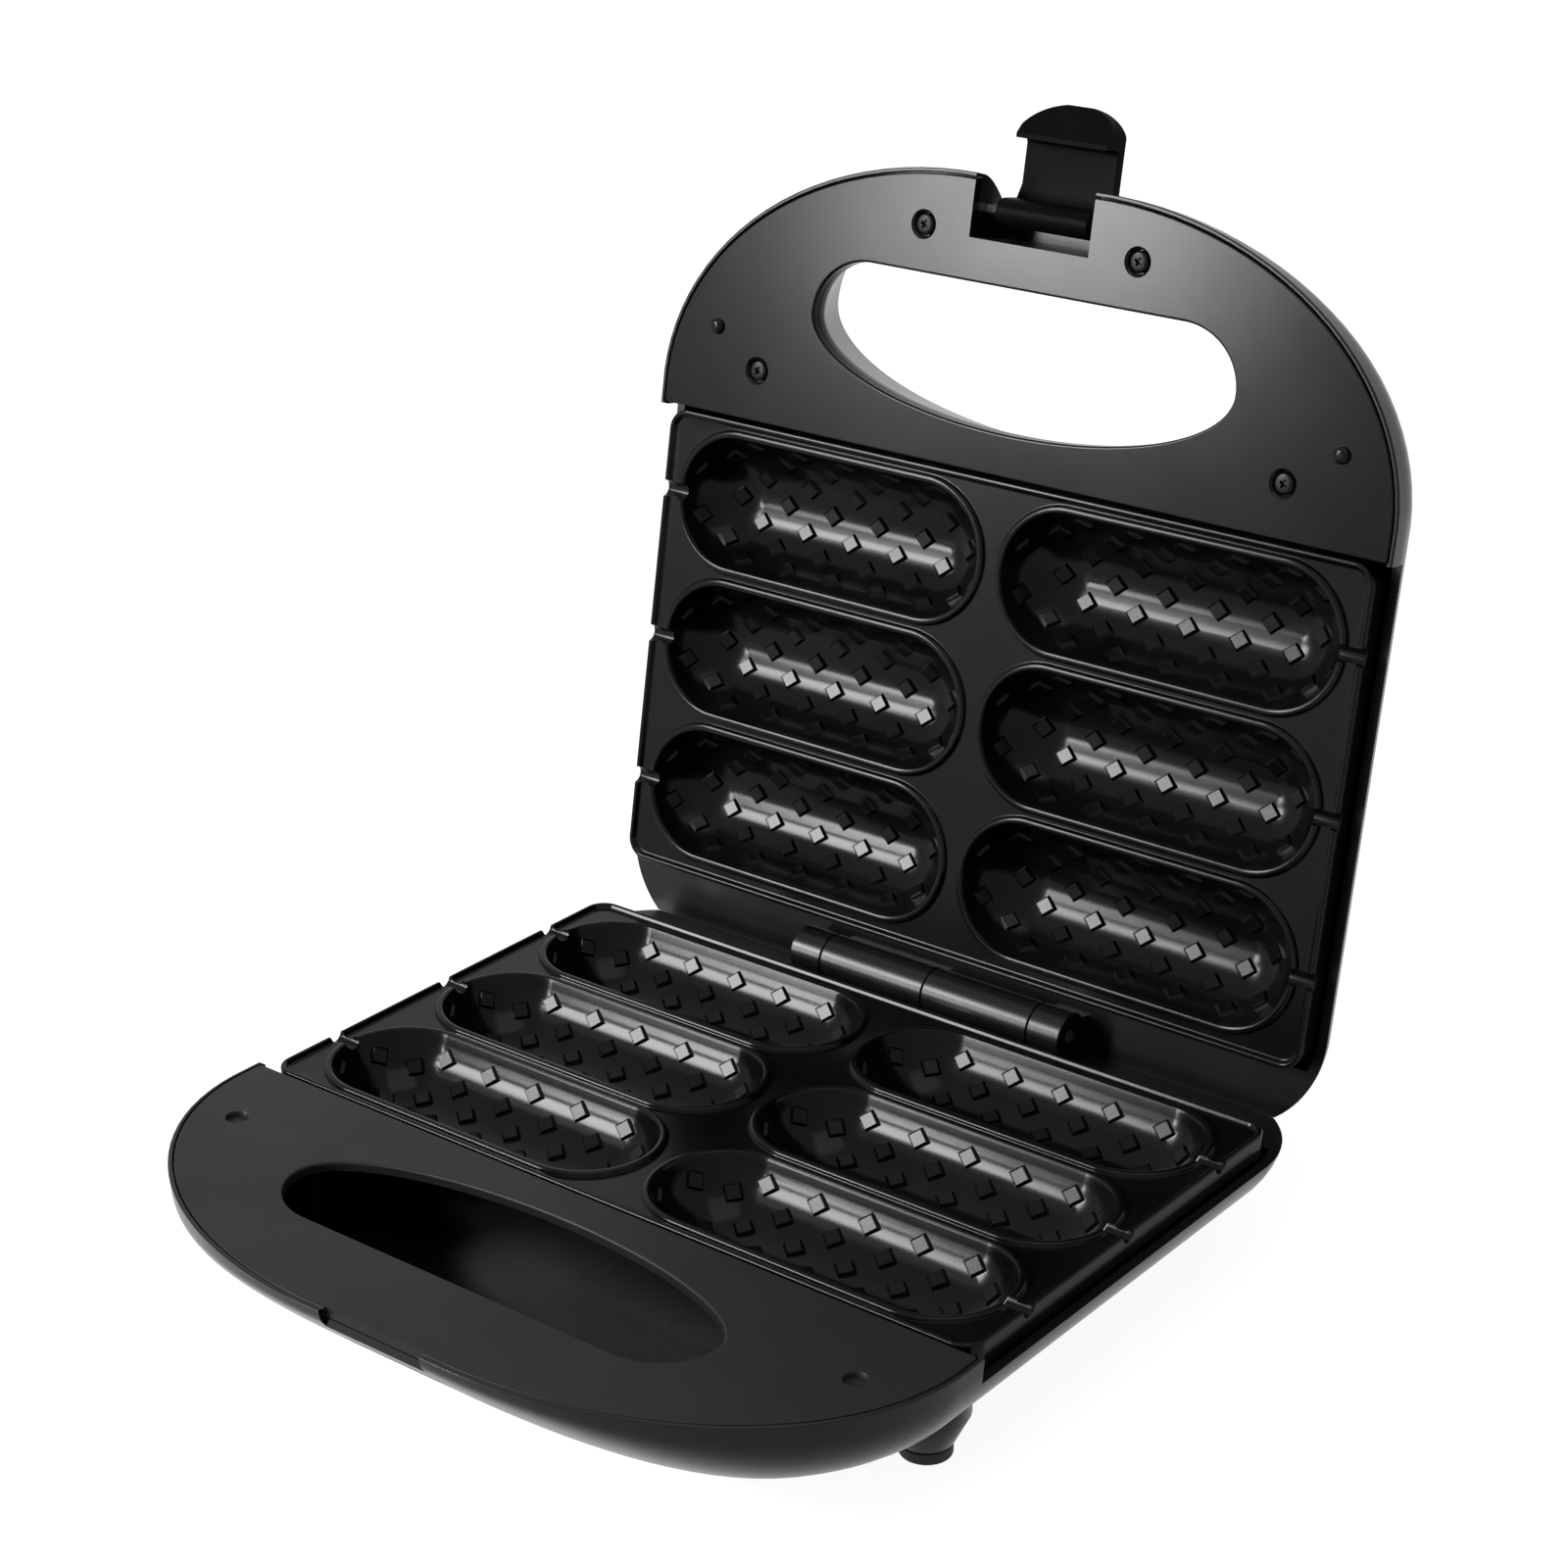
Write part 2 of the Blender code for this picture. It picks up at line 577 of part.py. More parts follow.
def make_plate(prefix, parent):
    """The cooking plate: a skirted sheet with six moulds and stick grooves."""
    half = PLATE_WIDTH / 2
    bm = new_bmesh()
    add_prism(bm, rounded_rectangle(half, PLATE_REAR, PLATE_FRONT, PLATE_CORNER), 0, PLATE_SKIRT)
    plate = make_object(prefix + "_plate", bm, plate_coating(), parent)

    bm = new_bmesh()
    hollow = rounded_rectangle(half - SHEET, PLATE_REAR + SHEET, PLATE_FRONT - SHEET, PLATE_CORNER - SHEET)
    add_prism(bm, hollow, UNDERSIDE, PLATE_SKIRT + OVERRUN)
    cut(plate, make_tool(prefix + "_plate_hollow", bm, parent))

    bm = new_bmesh()
    for centre in cavity_centres():
        add_trough(bm, centre, CAVITY_ARC + SHEET, FIELD_DEPTH + SHEET / 2, UNDERSIDE_RINGS,
                   UNDERSIDE_END_STEPS)
    join(plate, make_tool(prefix + "_plate_moulds", bm, parent))

    bm = new_bmesh()
    boss_start = FIELD_DEPTH + SHEET / 2
    add_pin(bm, (0, MIDDLE_ROW), boss_start, CENTRE_BOSS_DEPTH, CENTRE_BOSS_RADIUS)
    for row in (ROW_PLACES[0], ROW_PLACES[2]):
        add_pin(bm, (0, row), boss_start, SIDE_BOSS_DEPTH, SIDE_BOSS_RADIUS)
    join(plate, make_tool(prefix + "_plate_bosses", bm, parent))

    bm = new_bmesh()
    field = rounded_rectangle(half - EDGE_BEAD, PLATE_REAR + EDGE_BEAD, PLATE_FRONT - EDGE_BEAD,
                              PLATE_CORNER - EDGE_BEAD)
    add_prism(bm, field, -OVERRUN, FIELD_DEPTH)
    sunk_field = make_tool(prefix + "_plate_field", bm, parent)
    bm = new_bmesh()
    for column, row in cavity_centres():
        outline = stadium(column, row, CAVITY_HALF_WIDTH + CAVITY_BEAD)
        add_prism(bm, outline, -2 * OVERRUN, FIELD_DEPTH + OVERRUN)
    cut(sunk_field, make_tool(prefix + "_plate_beads", bm, parent))
    cut(plate, sunk_field)

    bm = new_bmesh()
    for centre in cavity_centres():
        add_trough(bm, centre, CAVITY_ARC, -OVERRUN, CAVITY_RINGS, CAVITY_END_STEPS)
    cut(plate, make_tool(prefix + "_plate_cavities", bm, parent))

    bm = new_bmesh()
    ring = arc((0, 0), (STICK_RADIUS, STICK_RADIUS), 0, 2 * math.pi, SMALL_STEPS)[:-1]
    groove_start = CAVITY_END_PLACE + CAVITY_HALF_WIDTH / 2
    for side in (-1, 1):
        for row in ROW_PLACES:
            profile = [(y - row, z) for y, z in ring]
            add_bar(bm, profile, side * groove_start, side * (half + OVERRUN))
    cut(plate, make_tool(prefix + "_plate_grooves", bm, parent))

    bm = new_bmesh()
    add_pin(bm, (0, MIDDLE_ROW), CENTRE_SCREW_TIP - CLEARANCE, CENTRE_BOSS_DEPTH + OVERRUN, SCREW_BORE)
    cut(plate, make_tool(prefix + "_plate_bore", bm, parent))
    return plate


def heater_stations():
    """Centre, heading and radius along the heater, from pin to pin."""
    pin_end = -HEATER_LEG_END - HEATER_PIN_LENGTH
    near = MIDDLE_ROW - HEATER_LEG_OFFSET
    far = MIDDLE_ROW + HEATER_LEG_OFFSET
    stations = [(pin_end, near, 0, HEATER_PIN_RADIUS), (-HEATER_LEG_END, near, 0, HEATER_PIN_RADIUS),
                (-HEATER_LEG_END, near, 0, HEATER_RADIUS)]
    for step in range(BEND_STEPS + 1):
        turn = math.pi * step / BEND_STEPS
        u = HEATER_BEND_PLACE + HEATER_LEG_OFFSET * math.sin(turn)
        v = MIDDLE_ROW - HEATER_LEG_OFFSET * math.cos(turn)
        stations.append((u, v, turn, HEATER_RADIUS))
    stations += [(-HEATER_LEG_END, far, math.pi, HEATER_RADIUS),
                 (-HEATER_LEG_END, far, math.pi, HEATER_PIN_RADIUS),
                 (pin_end, far, math.pi, HEATER_PIN_RADIUS)]
    return stations


def make_heater(prefix, parent):
    """One bent heater tube with a connection pin at each end."""
    rings = []
    for u, v, heading, radius in heater_stations():
        ring = []
        for aside, up in arc((0, 0), (radius, radius), 0, 2 * math.pi, HEATER_SIDES)[:-1]:
            across = u - aside * math.sin(heading)
            along = v + aside * math.cos(heading)
            ring.append(place(across, along, HEATER_DEPTH - up))
        rings.append(ring)
    bm = new_bmesh()
    add_skin(bm, rings)
    return make_object(prefix + "_heater", bm, heater_steel(), parent, place(0, MIDDLE_ROW, HEATER_DEPTH))


def make_clamp(prefix, parent):
    bm = new_bmesh()
    add_block(bm, CLAMP_HALF_WIDTH, MIDDLE_ROW - CLAMP_HALF_LENGTH, MIDDLE_ROW + CLAMP_HALF_LENGTH,
              CLAMP_TOP, CLAMP_BOTTOM)
    clamp = make_object(prefix + "_heater_clamp", bm, bare_steel(), parent)
    bm = new_bmesh()
    add_pin(bm, (0, MIDDLE_ROW), CLAMP_TOP - OVERRUN, CLAMP_BOTTOM + OVERRUN, SCREW_BORE)
    cut(clamp, make_tool(prefix + "_heater_clamp_hole", bm, parent))
    return clamp


def make_reflector(prefix, parent):
    """The sheet that turns the heat back to the plate."""
    bm = new_bmesh()
    outline = rounded_rectangle(REFLECTOR_HALF_WIDTH, MIDDLE_ROW - REFLECTOR_HALF_LENGTH,
                                MIDDLE_ROW + REFLECTOR_HALF_LENGTH, REFLECTOR_CORNER)
    add_prism(bm, outline, REFLECTOR_TOP, REFLECTOR_BOTTOM)
    sheet = make_object(prefix + "_reflector", bm, bright_aluminium(), parent)
    bm = new_bmesh()
    add_pin(bm, (0, MIDDLE_ROW), REFLECTOR_TOP - OVERRUN, REFLECTOR_BOTTOM + OVERRUN, SCREW_BORE)
    cut(sheet, make_tool(prefix + "_reflector_hole", bm, parent))
    return sheet


def make_screw(name, parent, centre, head_outer, head_inner, tip, sizes):
    """A pan-head screw across a half, its head between two depths and its shank to a third."""
    shank_radius, head_radius = sizes
    toward_tip = 1 if tip > head_outer else -1
    edge = head_outer + toward_tip * SCREW_HEAD_CHAMFER
    cross_floor = head_outer + toward_tip * SCREW_SLOT_DEPTH
    bm = new_bmesh()
    add_round(bm, centre, ((cross_floor, SCREW_SLOT_RADIUS / 2), (head_outer, SCREW_SLOT_RADIUS),
                           (head_outer, head_radius - SCREW_HEAD_CHAMFER), (edge, head_radius),
                           (head_inner, head_radius), (head_inner, shank_radius), (tip, shank_radius)),
              SMALL_STEPS)
    return make_object(name, bm, bare_steel(), parent, place(*centre, head_inner))


def make_centre_screw(prefix, parent):
    """The screw that draws clamp, reflector and plate onto the shell."""
    inner = SHELL_DEPTH - CENTRE_SINK_DEPTH + CLEARANCE
    return make_screw(prefix + "_centre_screw", parent, (0, MIDDLE_ROW), inner + CENTRE_HEAD_HEIGHT, inner,
                      CENTRE_SCREW_TIP, (SCREW_RADIUS, CENTRE_HEAD_RADIUS))


def corner_posts():
    across = PLATE_WIDTH / 2 - POST_INSET
    ends = (PLATE_REAR + POST_INSET, PLATE_FRONT - POST_INSET)
    return [(side * across, v) for side in (-1, 1) for v in ends]


def cover_screw_places():
    return [(side * u, v) for u, v in COVER_SCREW_PLACES for side in (-1, 1)]


def rear_profile(offset):
    """The rear deck in section, moved down by an offset: level, then sloping clear of the swing."""
    level = RIM_GAP / 2 + RIM_STEP
    slant = math.hypot(1, SWING_SLOPE)
    turn = (level + offset) / SWING_SLOPE - offset * slant / SWING_SLOPE
    far = SHELL_REAR + OVERRUN
    return [(turn, -(level + offset)), (far, -(far * SWING_SLOPE + offset * slant))]


def make_shell_hollow(prefix, parent, catch, boss_top):
    """The inside of a shell with its walls, posts and bosses left standing."""
    bm = new_bmesh()
    rise = BASE_HANDLE_RISE if catch else LID_HANDLE_RISE
    add_bowl(bm, WALL, -OVERRUN, rise)
    hollow = make_tool(prefix + "_shell_hollow", bm, parent)

    bm = new_bmesh()
    below = FLOOR_DEPTH + OVERRUN
    wide = SHELL_HALF_WIDTH + OVERRUN
    wall_rear = COVER_REAR + BAY_WALL_GAP
    add_block(bm, wide, wall_rear, wall_rear + BAY_WALL, -2 * OVERRUN, below)
    for centre in corner_posts():
        add_pin(bm, centre, UNDERSIDE + CLEARANCE, below, POST_RADIUS)
    add_pin(bm, (0, MIDDLE_ROW), REFLECTOR_BOTTOM + CLEARANCE, below, CENTRE_POST_RADIUS)
    for centre in cover_screw_places():
        add_pin(bm, centre, boss_top, below, SCREW_PAD_RADIUS)
    front = SHELL_FRONT + OVERRUN
    if catch:
        pocket_rear = CATCH_FRONT - CATCH_POCKET_LENGTH - CATCH_WALL
        add_block(bm, CATCH_HALF_WIDTH + CATCH_WALL, pocket_rear, front, COVER_UNDERSIDE, below)
    else:
        add_block(bm, NOTCH_HALF_WIDTH + NOTCH_WALL, NOTCH_REAR - NOTCH_WALL, front, COVER_UNDERSIDE, below)
    above = OVERRUN * 2
    turn, far = rear_profile(WALL)
    add_bar(bm, [(-DECK_FRONT, above), (-DECK_FRONT, turn[1]), turn, far, (far[0], above)], -wide, wide)
    cut(hollow, make_tool(prefix + "_shell_keeps", bm, parent))
    if not catch:
        bm = new_bmesh()
        add_flared_opening(bm, OPENING_WALL, COVER_UNDERSIDE, below)
        cut(hollow, make_tool(prefix + "_shell_opening_keep", bm, parent))
    return hollow


def knuckle_profile():
    """A hinge knuckle with the web that stands it on the deck."""
    lean = math.acos(BARREL_WEB / BARREL_RADIUS)
    ring = arc((0, 0), (BARREL_RADIUS, BARREL_RADIUS), -lean, math.pi + lean, BARREL_STEPS)
    foot = -(RIM_GAP / 2 + RIM_STEP + WALL / 2)
    return ring + [(-BARREL_WEB, foot), (BARREL_WEB, foot)]


def knuckle_spans():
    """Where this half's knuckles lie; turned over, they fall between the other half's."""
    inner = BARREL_HALF_LENGTH - BARREL_SHORT
    half_gap = CLEARANCE / 2
    return [(-BARREL_HALF_LENGTH, -inner - half_gap), (half_gap, inner - half_gap)]


def make_shell(prefix, parent, catch, boss_top):
    """One plastic shell with its hinge knuckles, before the cuts that only one half has."""
    bm = new_bmesh()
    add_bowl(bm, 0, 0, BASE_HANDLE_RISE if catch else LID_HANDLE_RISE)
    shell = make_object(prefix + "_shell", bm, shell_plastic(), parent)
    if catch:
        bm = new_bmesh()
        pedestal_end = SHELL_DEPTH + FOOT_HEIGHT - FOOT_PAD_HEIGHT - CLEARANCE
        pedestal = ((SHELL_SIDE_DEPTH + RIM_STEP, FOOT_TOP_RADIUS), (FLOOR_DEPTH, FOOT_TOP_RADIUS),
                    (pedestal_end, FOOT_PAD_RADIUS))
        for centre in foot_places():
            add_round(bm, centre, pedestal)
        join(shell, make_tool(prefix + "_shell_pedestals", bm, parent))
        bm = new_bmesh()
        add_gland_solid(bm, GLAND_BOSS_RADIUS, GLAND_BOSS_REAR, PLATE_REAR)
        join(shell, make_tool(prefix + "_shell_gland_boss", bm, parent))
    cut(shell, make_shell_hollow(prefix, parent, catch, boss_top))

    bm = new_bmesh()
    wide = SHELL_HALF_WIDTH + OVERRUN
    add_prism(bm, cover_outline(COVER_RIM, COVER_REAR - COVER_GAP / 2), -OVERRUN, COVER_UNDERSIDE)
    cut(shell, make_tool(prefix + "_shell_rebate", bm, parent))
    bm = new_bmesh()
    turn, far = rear_profile(0)
    above = OVERRUN * 2
    front = COVER_REAR - COVER_GAP / 2
    add_bar(bm, [(-front, above), (-front, turn[1]), turn, far, (far[0], above)], -wide, wide)
    cut(shell, make_tool(prefix + "_shell_step", bm, parent))

    bm = new_bmesh()
    for start, end in knuckle_spans():
        add_bar(bm, knuckle_profile(), start, end)
    join(shell, make_tool(prefix + "_shell_knuckles", bm, parent))
    bm = new_bmesh()
    ring = arc((0, 0), (PIN_BORE, PIN_BORE), 0, 2 * math.pi, SMALL_STEPS)[:-1]
    add_bar(bm, ring, -BARREL_HALF_LENGTH - OVERRUN, BARREL_HALF_LENGTH + OVERRUN)
    cut(shell, make_tool(prefix + "_shell_pin_bore", bm, parent))

    bm = new_bmesh()
    sink = SHELL_DEPTH - CENTRE_SINK_DEPTH
    add_round(bm, (0, MIDDLE_ROW), ((REFLECTOR_BOTTOM - CLEARANCE, SCREW_BORE), (sink, SCREW_BORE),
                                    (sink, CENTRE_HEAD_RADIUS + CLEARANCE),
                                    (SHELL_DEPTH + OVERRUN, CENTRE_HEAD_RADIUS + CLEARANCE)), SMALL_STEPS)
    cut(shell, make_tool(prefix + "_shell_centre_bore", bm, parent))
    return shell


def make_cover(prefix, parent, pad_depth):
    """The flat cover that closes the hollow handle end of a shell."""
    bm = new_bmesh()
    add_prism(bm, cover_outline(COVER_RIM + CLEARANCE, COVER_REAR), 0, COVER_THICKNESS)
    cover = make_object(prefix + "_handle_cover", bm, cover_plastic(), parent)
    bm = new_bmesh()
    for centre in cover_screw_places():
        add_pin(bm, centre, COVER_THICKNESS / 2, pad_depth, SCREW_PAD_RADIUS)
    join(cover, make_tool(prefix + "_cover_pads", bm, parent))
    bm = new_bmesh()
    add_prism(bm, opening_outline(0, 0), -OVERRUN, COVER_THICKNESS + OVERRUN)
    cut(cover, make_tool(prefix + "_cover_opening", bm, parent))
    return cover


def foot_places():
    return [(side * u, v) for u, v in (FRONT_FOOT_PLACE, REAR_FOOT_PLACE) for side in (-1, 1)]


def make_feet(parent):
    """Four rubber feet, each pushed by its stem into a pedestal of the shell."""
    ground = SHELL_DEPTH + FOOT_HEIGHT
    pad_top = ground - FOOT_PAD_HEIGHT
    names = ("foot_front_left", "foot_front_right", "foot_rear_left", "foot_rear_right")
    for name, centre in zip(names, foot_places()):
        bm = new_bmesh()
        add_round(bm, centre, ((pad_top - FOOT_STEM_HEIGHT, FOOT_STEM_RADIUS), (pad_top, FOOT_STEM_RADIUS),
                               (pad_top, FOOT_PAD_RADIUS), (ground - FOOT_PAD_CHAMFER, FOOT_PAD_RADIUS),
                               (ground, FOOT_PAD_RADIUS - FOOT_PAD_CHAMFER)))
        make_object(name, bm, foot_rubber(), parent, place(*centre, pad_top))


def add_gland_solid(bm, radius, rear, front):
    """A round solid along v at the cord's place, from behind the axis to the front."""
    centre = place(GLAND_PLACE, 0, GLAND_DEPTH)
    ring = arc((centre.x, centre.z), (radius, radius), 0, 2 * math.pi, ROUND_STEPS)[:-1]
    add_skin(bm, [[Vector((x, y, z)) for x, z in ring] for y in (rear, -front)])


def make_cord_gland(parent):
    """The bush in the rear wall that a mains lead passes through."""
    rear = GLAND_BOSS_REAR + CLEARANCE + GLAND_FLANGE
    flange_front = GLAND_BOSS_REAR + CLEARANCE
    front = rear - GLAND_LENGTH
    centre = place(GLAND_PLACE, 0, GLAND_DEPTH)
    stations = ((rear, GLAND_BORE), (rear, GLAND_FLANGE_RADIUS - GLAND_FLANGE / 2),
                (rear - GLAND_FLANGE / 2, GLAND_FLANGE_RADIUS), (flange_front, GLAND_FLANGE_RADIUS),
                (flange_front, GLAND_RADIUS), (front, GLAND_RADIUS), (front, GLAND_BORE))
    rings = []
    for y, radius in stations:
        ring = arc((centre.x, centre.z), (radius, radius), 0, 2 * math.pi, ROUND_STEPS)[:-1]
        rings.append([Vector((x, y, z)) for x, z in ring])
    bm = new_bmesh()
    loops = [[bm.verts.new(point) for point in ring] for ring in rings]
    for near, far in zip(loops, loops[1:] + loops[:1]):
        for index in range(ROUND_STEPS):
            after = (index + 1) % ROUND_STEPS
            bm.faces.new((near[index], near[after], far[after], far[index]))
    return make_object("cord_gland", bm, foot_rubber(), parent, centre)


def make_base_shell(parent):
    shell = make_shell("base", parent, True, LONG_BOSS_DEPTH + CLEARANCE)
    bm = new_bmesh()
    pad_top = SHELL_DEPTH + FOOT_HEIGHT - FOOT_PAD_HEIGHT
    bore_top = pad_top - FOOT_STEM_HEIGHT - CLEARANCE
    bore = FOOT_STEM_RADIUS + CLEARANCE
    for centre in foot_places():
        add_round(bm, centre, ((bore_top, bore), (pad_top + OVERRUN, bore)))
    cut(shell, make_tool("base_shell_foot_bores", bm, parent))

    bm = new_bmesh()
    add_gland_solid(bm, GLAND_RADIUS + CLEARANCE, GLAND_BOSS_REAR + OVERRUN, PLATE_REAR + OVERRUN)
    cut(shell, make_tool("base_shell_gland_bore", bm, parent))

    bm = new_bmesh()
    beyond = SHELL_FRONT + OVERRUN
    add_block(bm, CATCH_HALF_WIDTH, CATCH_FRONT, beyond, -OVERRUN, SHELL_DEPTH + OVERRUN)
    cut(shell, make_tool("base_shell_latch_recess", bm, parent))
    bm = new_bmesh()
    add_block(bm, CATCH_HALF_WIDTH - CLEARANCE, CATCH_FRONT - CATCH_POCKET_LENGTH, beyond + OVERRUN,
              CATCH_LIP_DEPTH, SHELL_DEPTH + 2 * OVERRUN)
    cut(shell, make_tool("base_shell_latch_pocket", bm, parent))

    bm = new_bmesh()
    for (u, v) in cover_screw_places():
        seat = base_screw_seat(u, v)
        stations = ((LONG_BOSS_DEPTH - OVERRUN, SCREW_BORE), (seat, SCREW_BORE), (seat, SCREW_HEAD_BORE),
                    (SHELL_DEPTH + OVERRUN, SCREW_HEAD_BORE))
        add_round(bm, (u, v), stations, SMALL_STEPS)
    cut(shell, make_tool("base_shell_screw_bores", bm, parent))

    bm = new_bmesh()
    for side in (-1, 1):
        centre = (side * DECK_BOSS_PLACE[0], DECK_BOSS_PLACE[1])
        add_pin(bm, centre, RIM_STEP - DECK_BOSS_HEIGHT, RIM_STEP + WALL / 2, DECK_BOSS_RADIUS, ROUND_STEPS)
    join(shell, make_tool("base_shell_deck_bosses", bm, parent))
    bm = new_bmesh()
    for side in (-1, 1):
        centre = (side * DECK_BOSS_PLACE[0], DECK_BOSS_PLACE[1])
        add_pin(bm, centre, RIM_STEP - OVERRUN, RIM_STEP, DECK_BOSS_HOLE)
    cut(shell, make_tool("base_shell_deck_boss_holes", bm, parent))
    return shell


def skin_depth(u, v):
    """Depth of the base shell's skin under the handle, found from the outline that passes there."""
    shallow, deep = 0.0, SHELL_EDGE_RUN
    for _ in range(SKIN_HALVINGS):
        inset = (shallow + deep) / 2
        across = max(abs(u) - HANDLE_SHOULDER, 0) / (SHELL_HALF_WIDTH - inset - HANDLE_SHOULDER)
        along = (v - HANDLE_CENTRE) / (HANDLE_REACH - inset)
        if math.hypot(across, along) < 1:
            shallow = inset
        else:
            deep = inset
    run_share = max(inset - SHELL_DRAFT, 0) / SHELL_EDGE_RUN
    depth = SHELL_SIDE_DEPTH + SHELL_EDGE_DROP * math.sqrt(1 - (1 - run_share) ** 2)
    return risen(v, depth, BASE_HANDLE_RISE)


def base_screw_seat(u, v):
    """Depth at which a cover screw's head seats, sunk below the shell's skin."""
    outer_share = 1 + SCREW_HEAD_BORE / math.hypot(u, v - HANDLE_CENTRE)
    skin = skin_depth(u * outer_share, HANDLE_CENTRE + (v - HANDLE_CENTRE) * outer_share)
    return skin - SCREW_HEAD_HEIGHT - 2 * CLEARANCE


def make_base_cover(parent):
    """The base cover, with bosses that its screws reach from below and dents for the lid's nubs."""
    cover = make_cover("base", parent, LONG_BOSS_DEPTH)
    bm = new_bmesh()
    for centre in cover_screw_places():
        add_pin(bm, centre, COVER_THICKNESS, LONG_BOSS_DEPTH + OVERRUN, SCREW_BORE)
    cut(cover, make_tool("base_cover_bores", bm, parent))
    bm = new_bmesh()
    for side in (-1, 1):
        centre = (side * NUB_PLACE[0], NUB_PLACE[1])
        add_pin(bm, centre, -OVERRUN, DENT_DEPTH, NUB_RADIUS + 2 * CLEARANCE)
    cut(cover, make_tool("base_cover_dents", bm, parent))
    bm = new_bmesh()
    add_block(bm, CATCH_HALF_WIDTH, CATCH_FRONT, SHELL_FRONT + OVERRUN, -OVERRUN, COVER_THICKNESS + OVERRUN)
    cut(cover, make_tool("base_cover_latch_recess", bm, parent))
    return cover


def make_base_screws(parent):
    for number, (u, v) in enumerate(cover_screw_places(), 1):
        inner = base_screw_seat(u, v) + CLEARANCE
        outer = inner + SCREW_HEAD_HEIGHT
        tip = COVER_THICKNESS + CLEARANCE
        make_screw("base_cover_screw_%d" % number, parent, (u, v), outer, inner, tip,
                   (SCREW_RADIUS, SCREW_HEAD_RADIUS))


def make_thermostat(parent):
    top = SIDE_BOSS_DEPTH + CLEARANCE
    shoulder = top + THERMOSTAT_CAP_HEIGHT
    centre = (0, ROW_PLACES[2])
    bm = new_bmesh()
    add_round(bm, centre, ((top, THERMOSTAT_CAP_RADIUS), (shoulder, THERMOSTAT_CAP_RADIUS),
                           (shoulder, THERMOSTAT_BODY_RADIUS),
                           (shoulder + THERMOSTAT_BODY_HEIGHT, THERMOSTAT_BODY_RADIUS)))
    return make_object("thermostat", bm, ceramic_white(), parent, place(*centre, top))


def make_thermal_fuse(parent):
    """The fuse that lies across its boss, with a short wire stub at each end."""
    row = ROW_PLACES[0]
    depth = SIDE_BOSS_DEPTH + CLEARANCE + FUSE_RADIUS
    centre = place(0, row, depth)
    half = FUSE_LENGTH / 2
    tip = half + FUSE_TIP_LENGTH
    stations = ((-tip, FUSE_TIP_RADIUS), (-half, FUSE_TIP_RADIUS), (-half, FUSE_RADIUS), (half, FUSE_RADIUS),
                (half, FUSE_TIP_RADIUS), (tip, FUSE_TIP_RADIUS))
    rings = []
    for x, radius in stations:
        ring = arc((centre.y, centre.z), (radius, radius), 0, 2 * math.pi, SMALL_STEPS)[:-1]
        rings.append([Vector((x, y, z)) for y, z in ring])
    bm = new_bmesh()
    add_skin(bm, rings)
    return make_object("thermal_fuse", bm, bare_steel(), parent, centre)


def make_terminal_block(parent):
    """The block on the base floor where the leads are joined."""
    bottom = FLOOR_DEPTH - CLEARANCE
    top = bottom - TERMINAL_HEIGHT
    rear = TERMINAL_PLACE_V - TERMINAL_LENGTH / 2
    front = TERMINAL_PLACE_V + TERMINAL_LENGTH / 2
    bm = new_bmesh()
    add_block(bm, TERMINAL_WIDTH / 2, rear, front, top, bottom, TERMINAL_PLACE_U)
    block = make_object("terminal_block", bm, ceramic_white(), parent,
                        place(TERMINAL_PLACE_U, TERMINAL_PLACE_V, bottom))
    bm = new_bmesh()
    middle = -(RIM_GAP / 2 + (top + bottom) / 2)
    for column in (-1, 0, 1):
        across = TERMINAL_PLACE_U + column * TERMINAL_HOLE_PITCH
        hole = (TERMINAL_HOLE_RADIUS, TERMINAL_HOLE_RADIUS)
        ring = arc((across, middle), hole, 0, 2 * math.pi, SMALL_STEPS)
        add_skin(bm, [[Vector((x, y, z)) for x, z in ring[:-1]] for y in (-front - OVERRUN, OVERRUN - rear)])
    cut(block, make_tool("terminal_block_holes", bm, parent))
    return block


def make_hinge_pin(parent):
    ring = arc((0, 0), (PIN_RADIUS, PIN_RADIUS), 0, 2 * math.pi, ROUND_STEPS)[:-1]
    bm = new_bmesh()
    reach = BARREL_HALF_LENGTH - CLEARANCE
    add_bar(bm, ring, -reach, reach)
    return make_object("hinge_pin", bm, bare_steel(), parent)


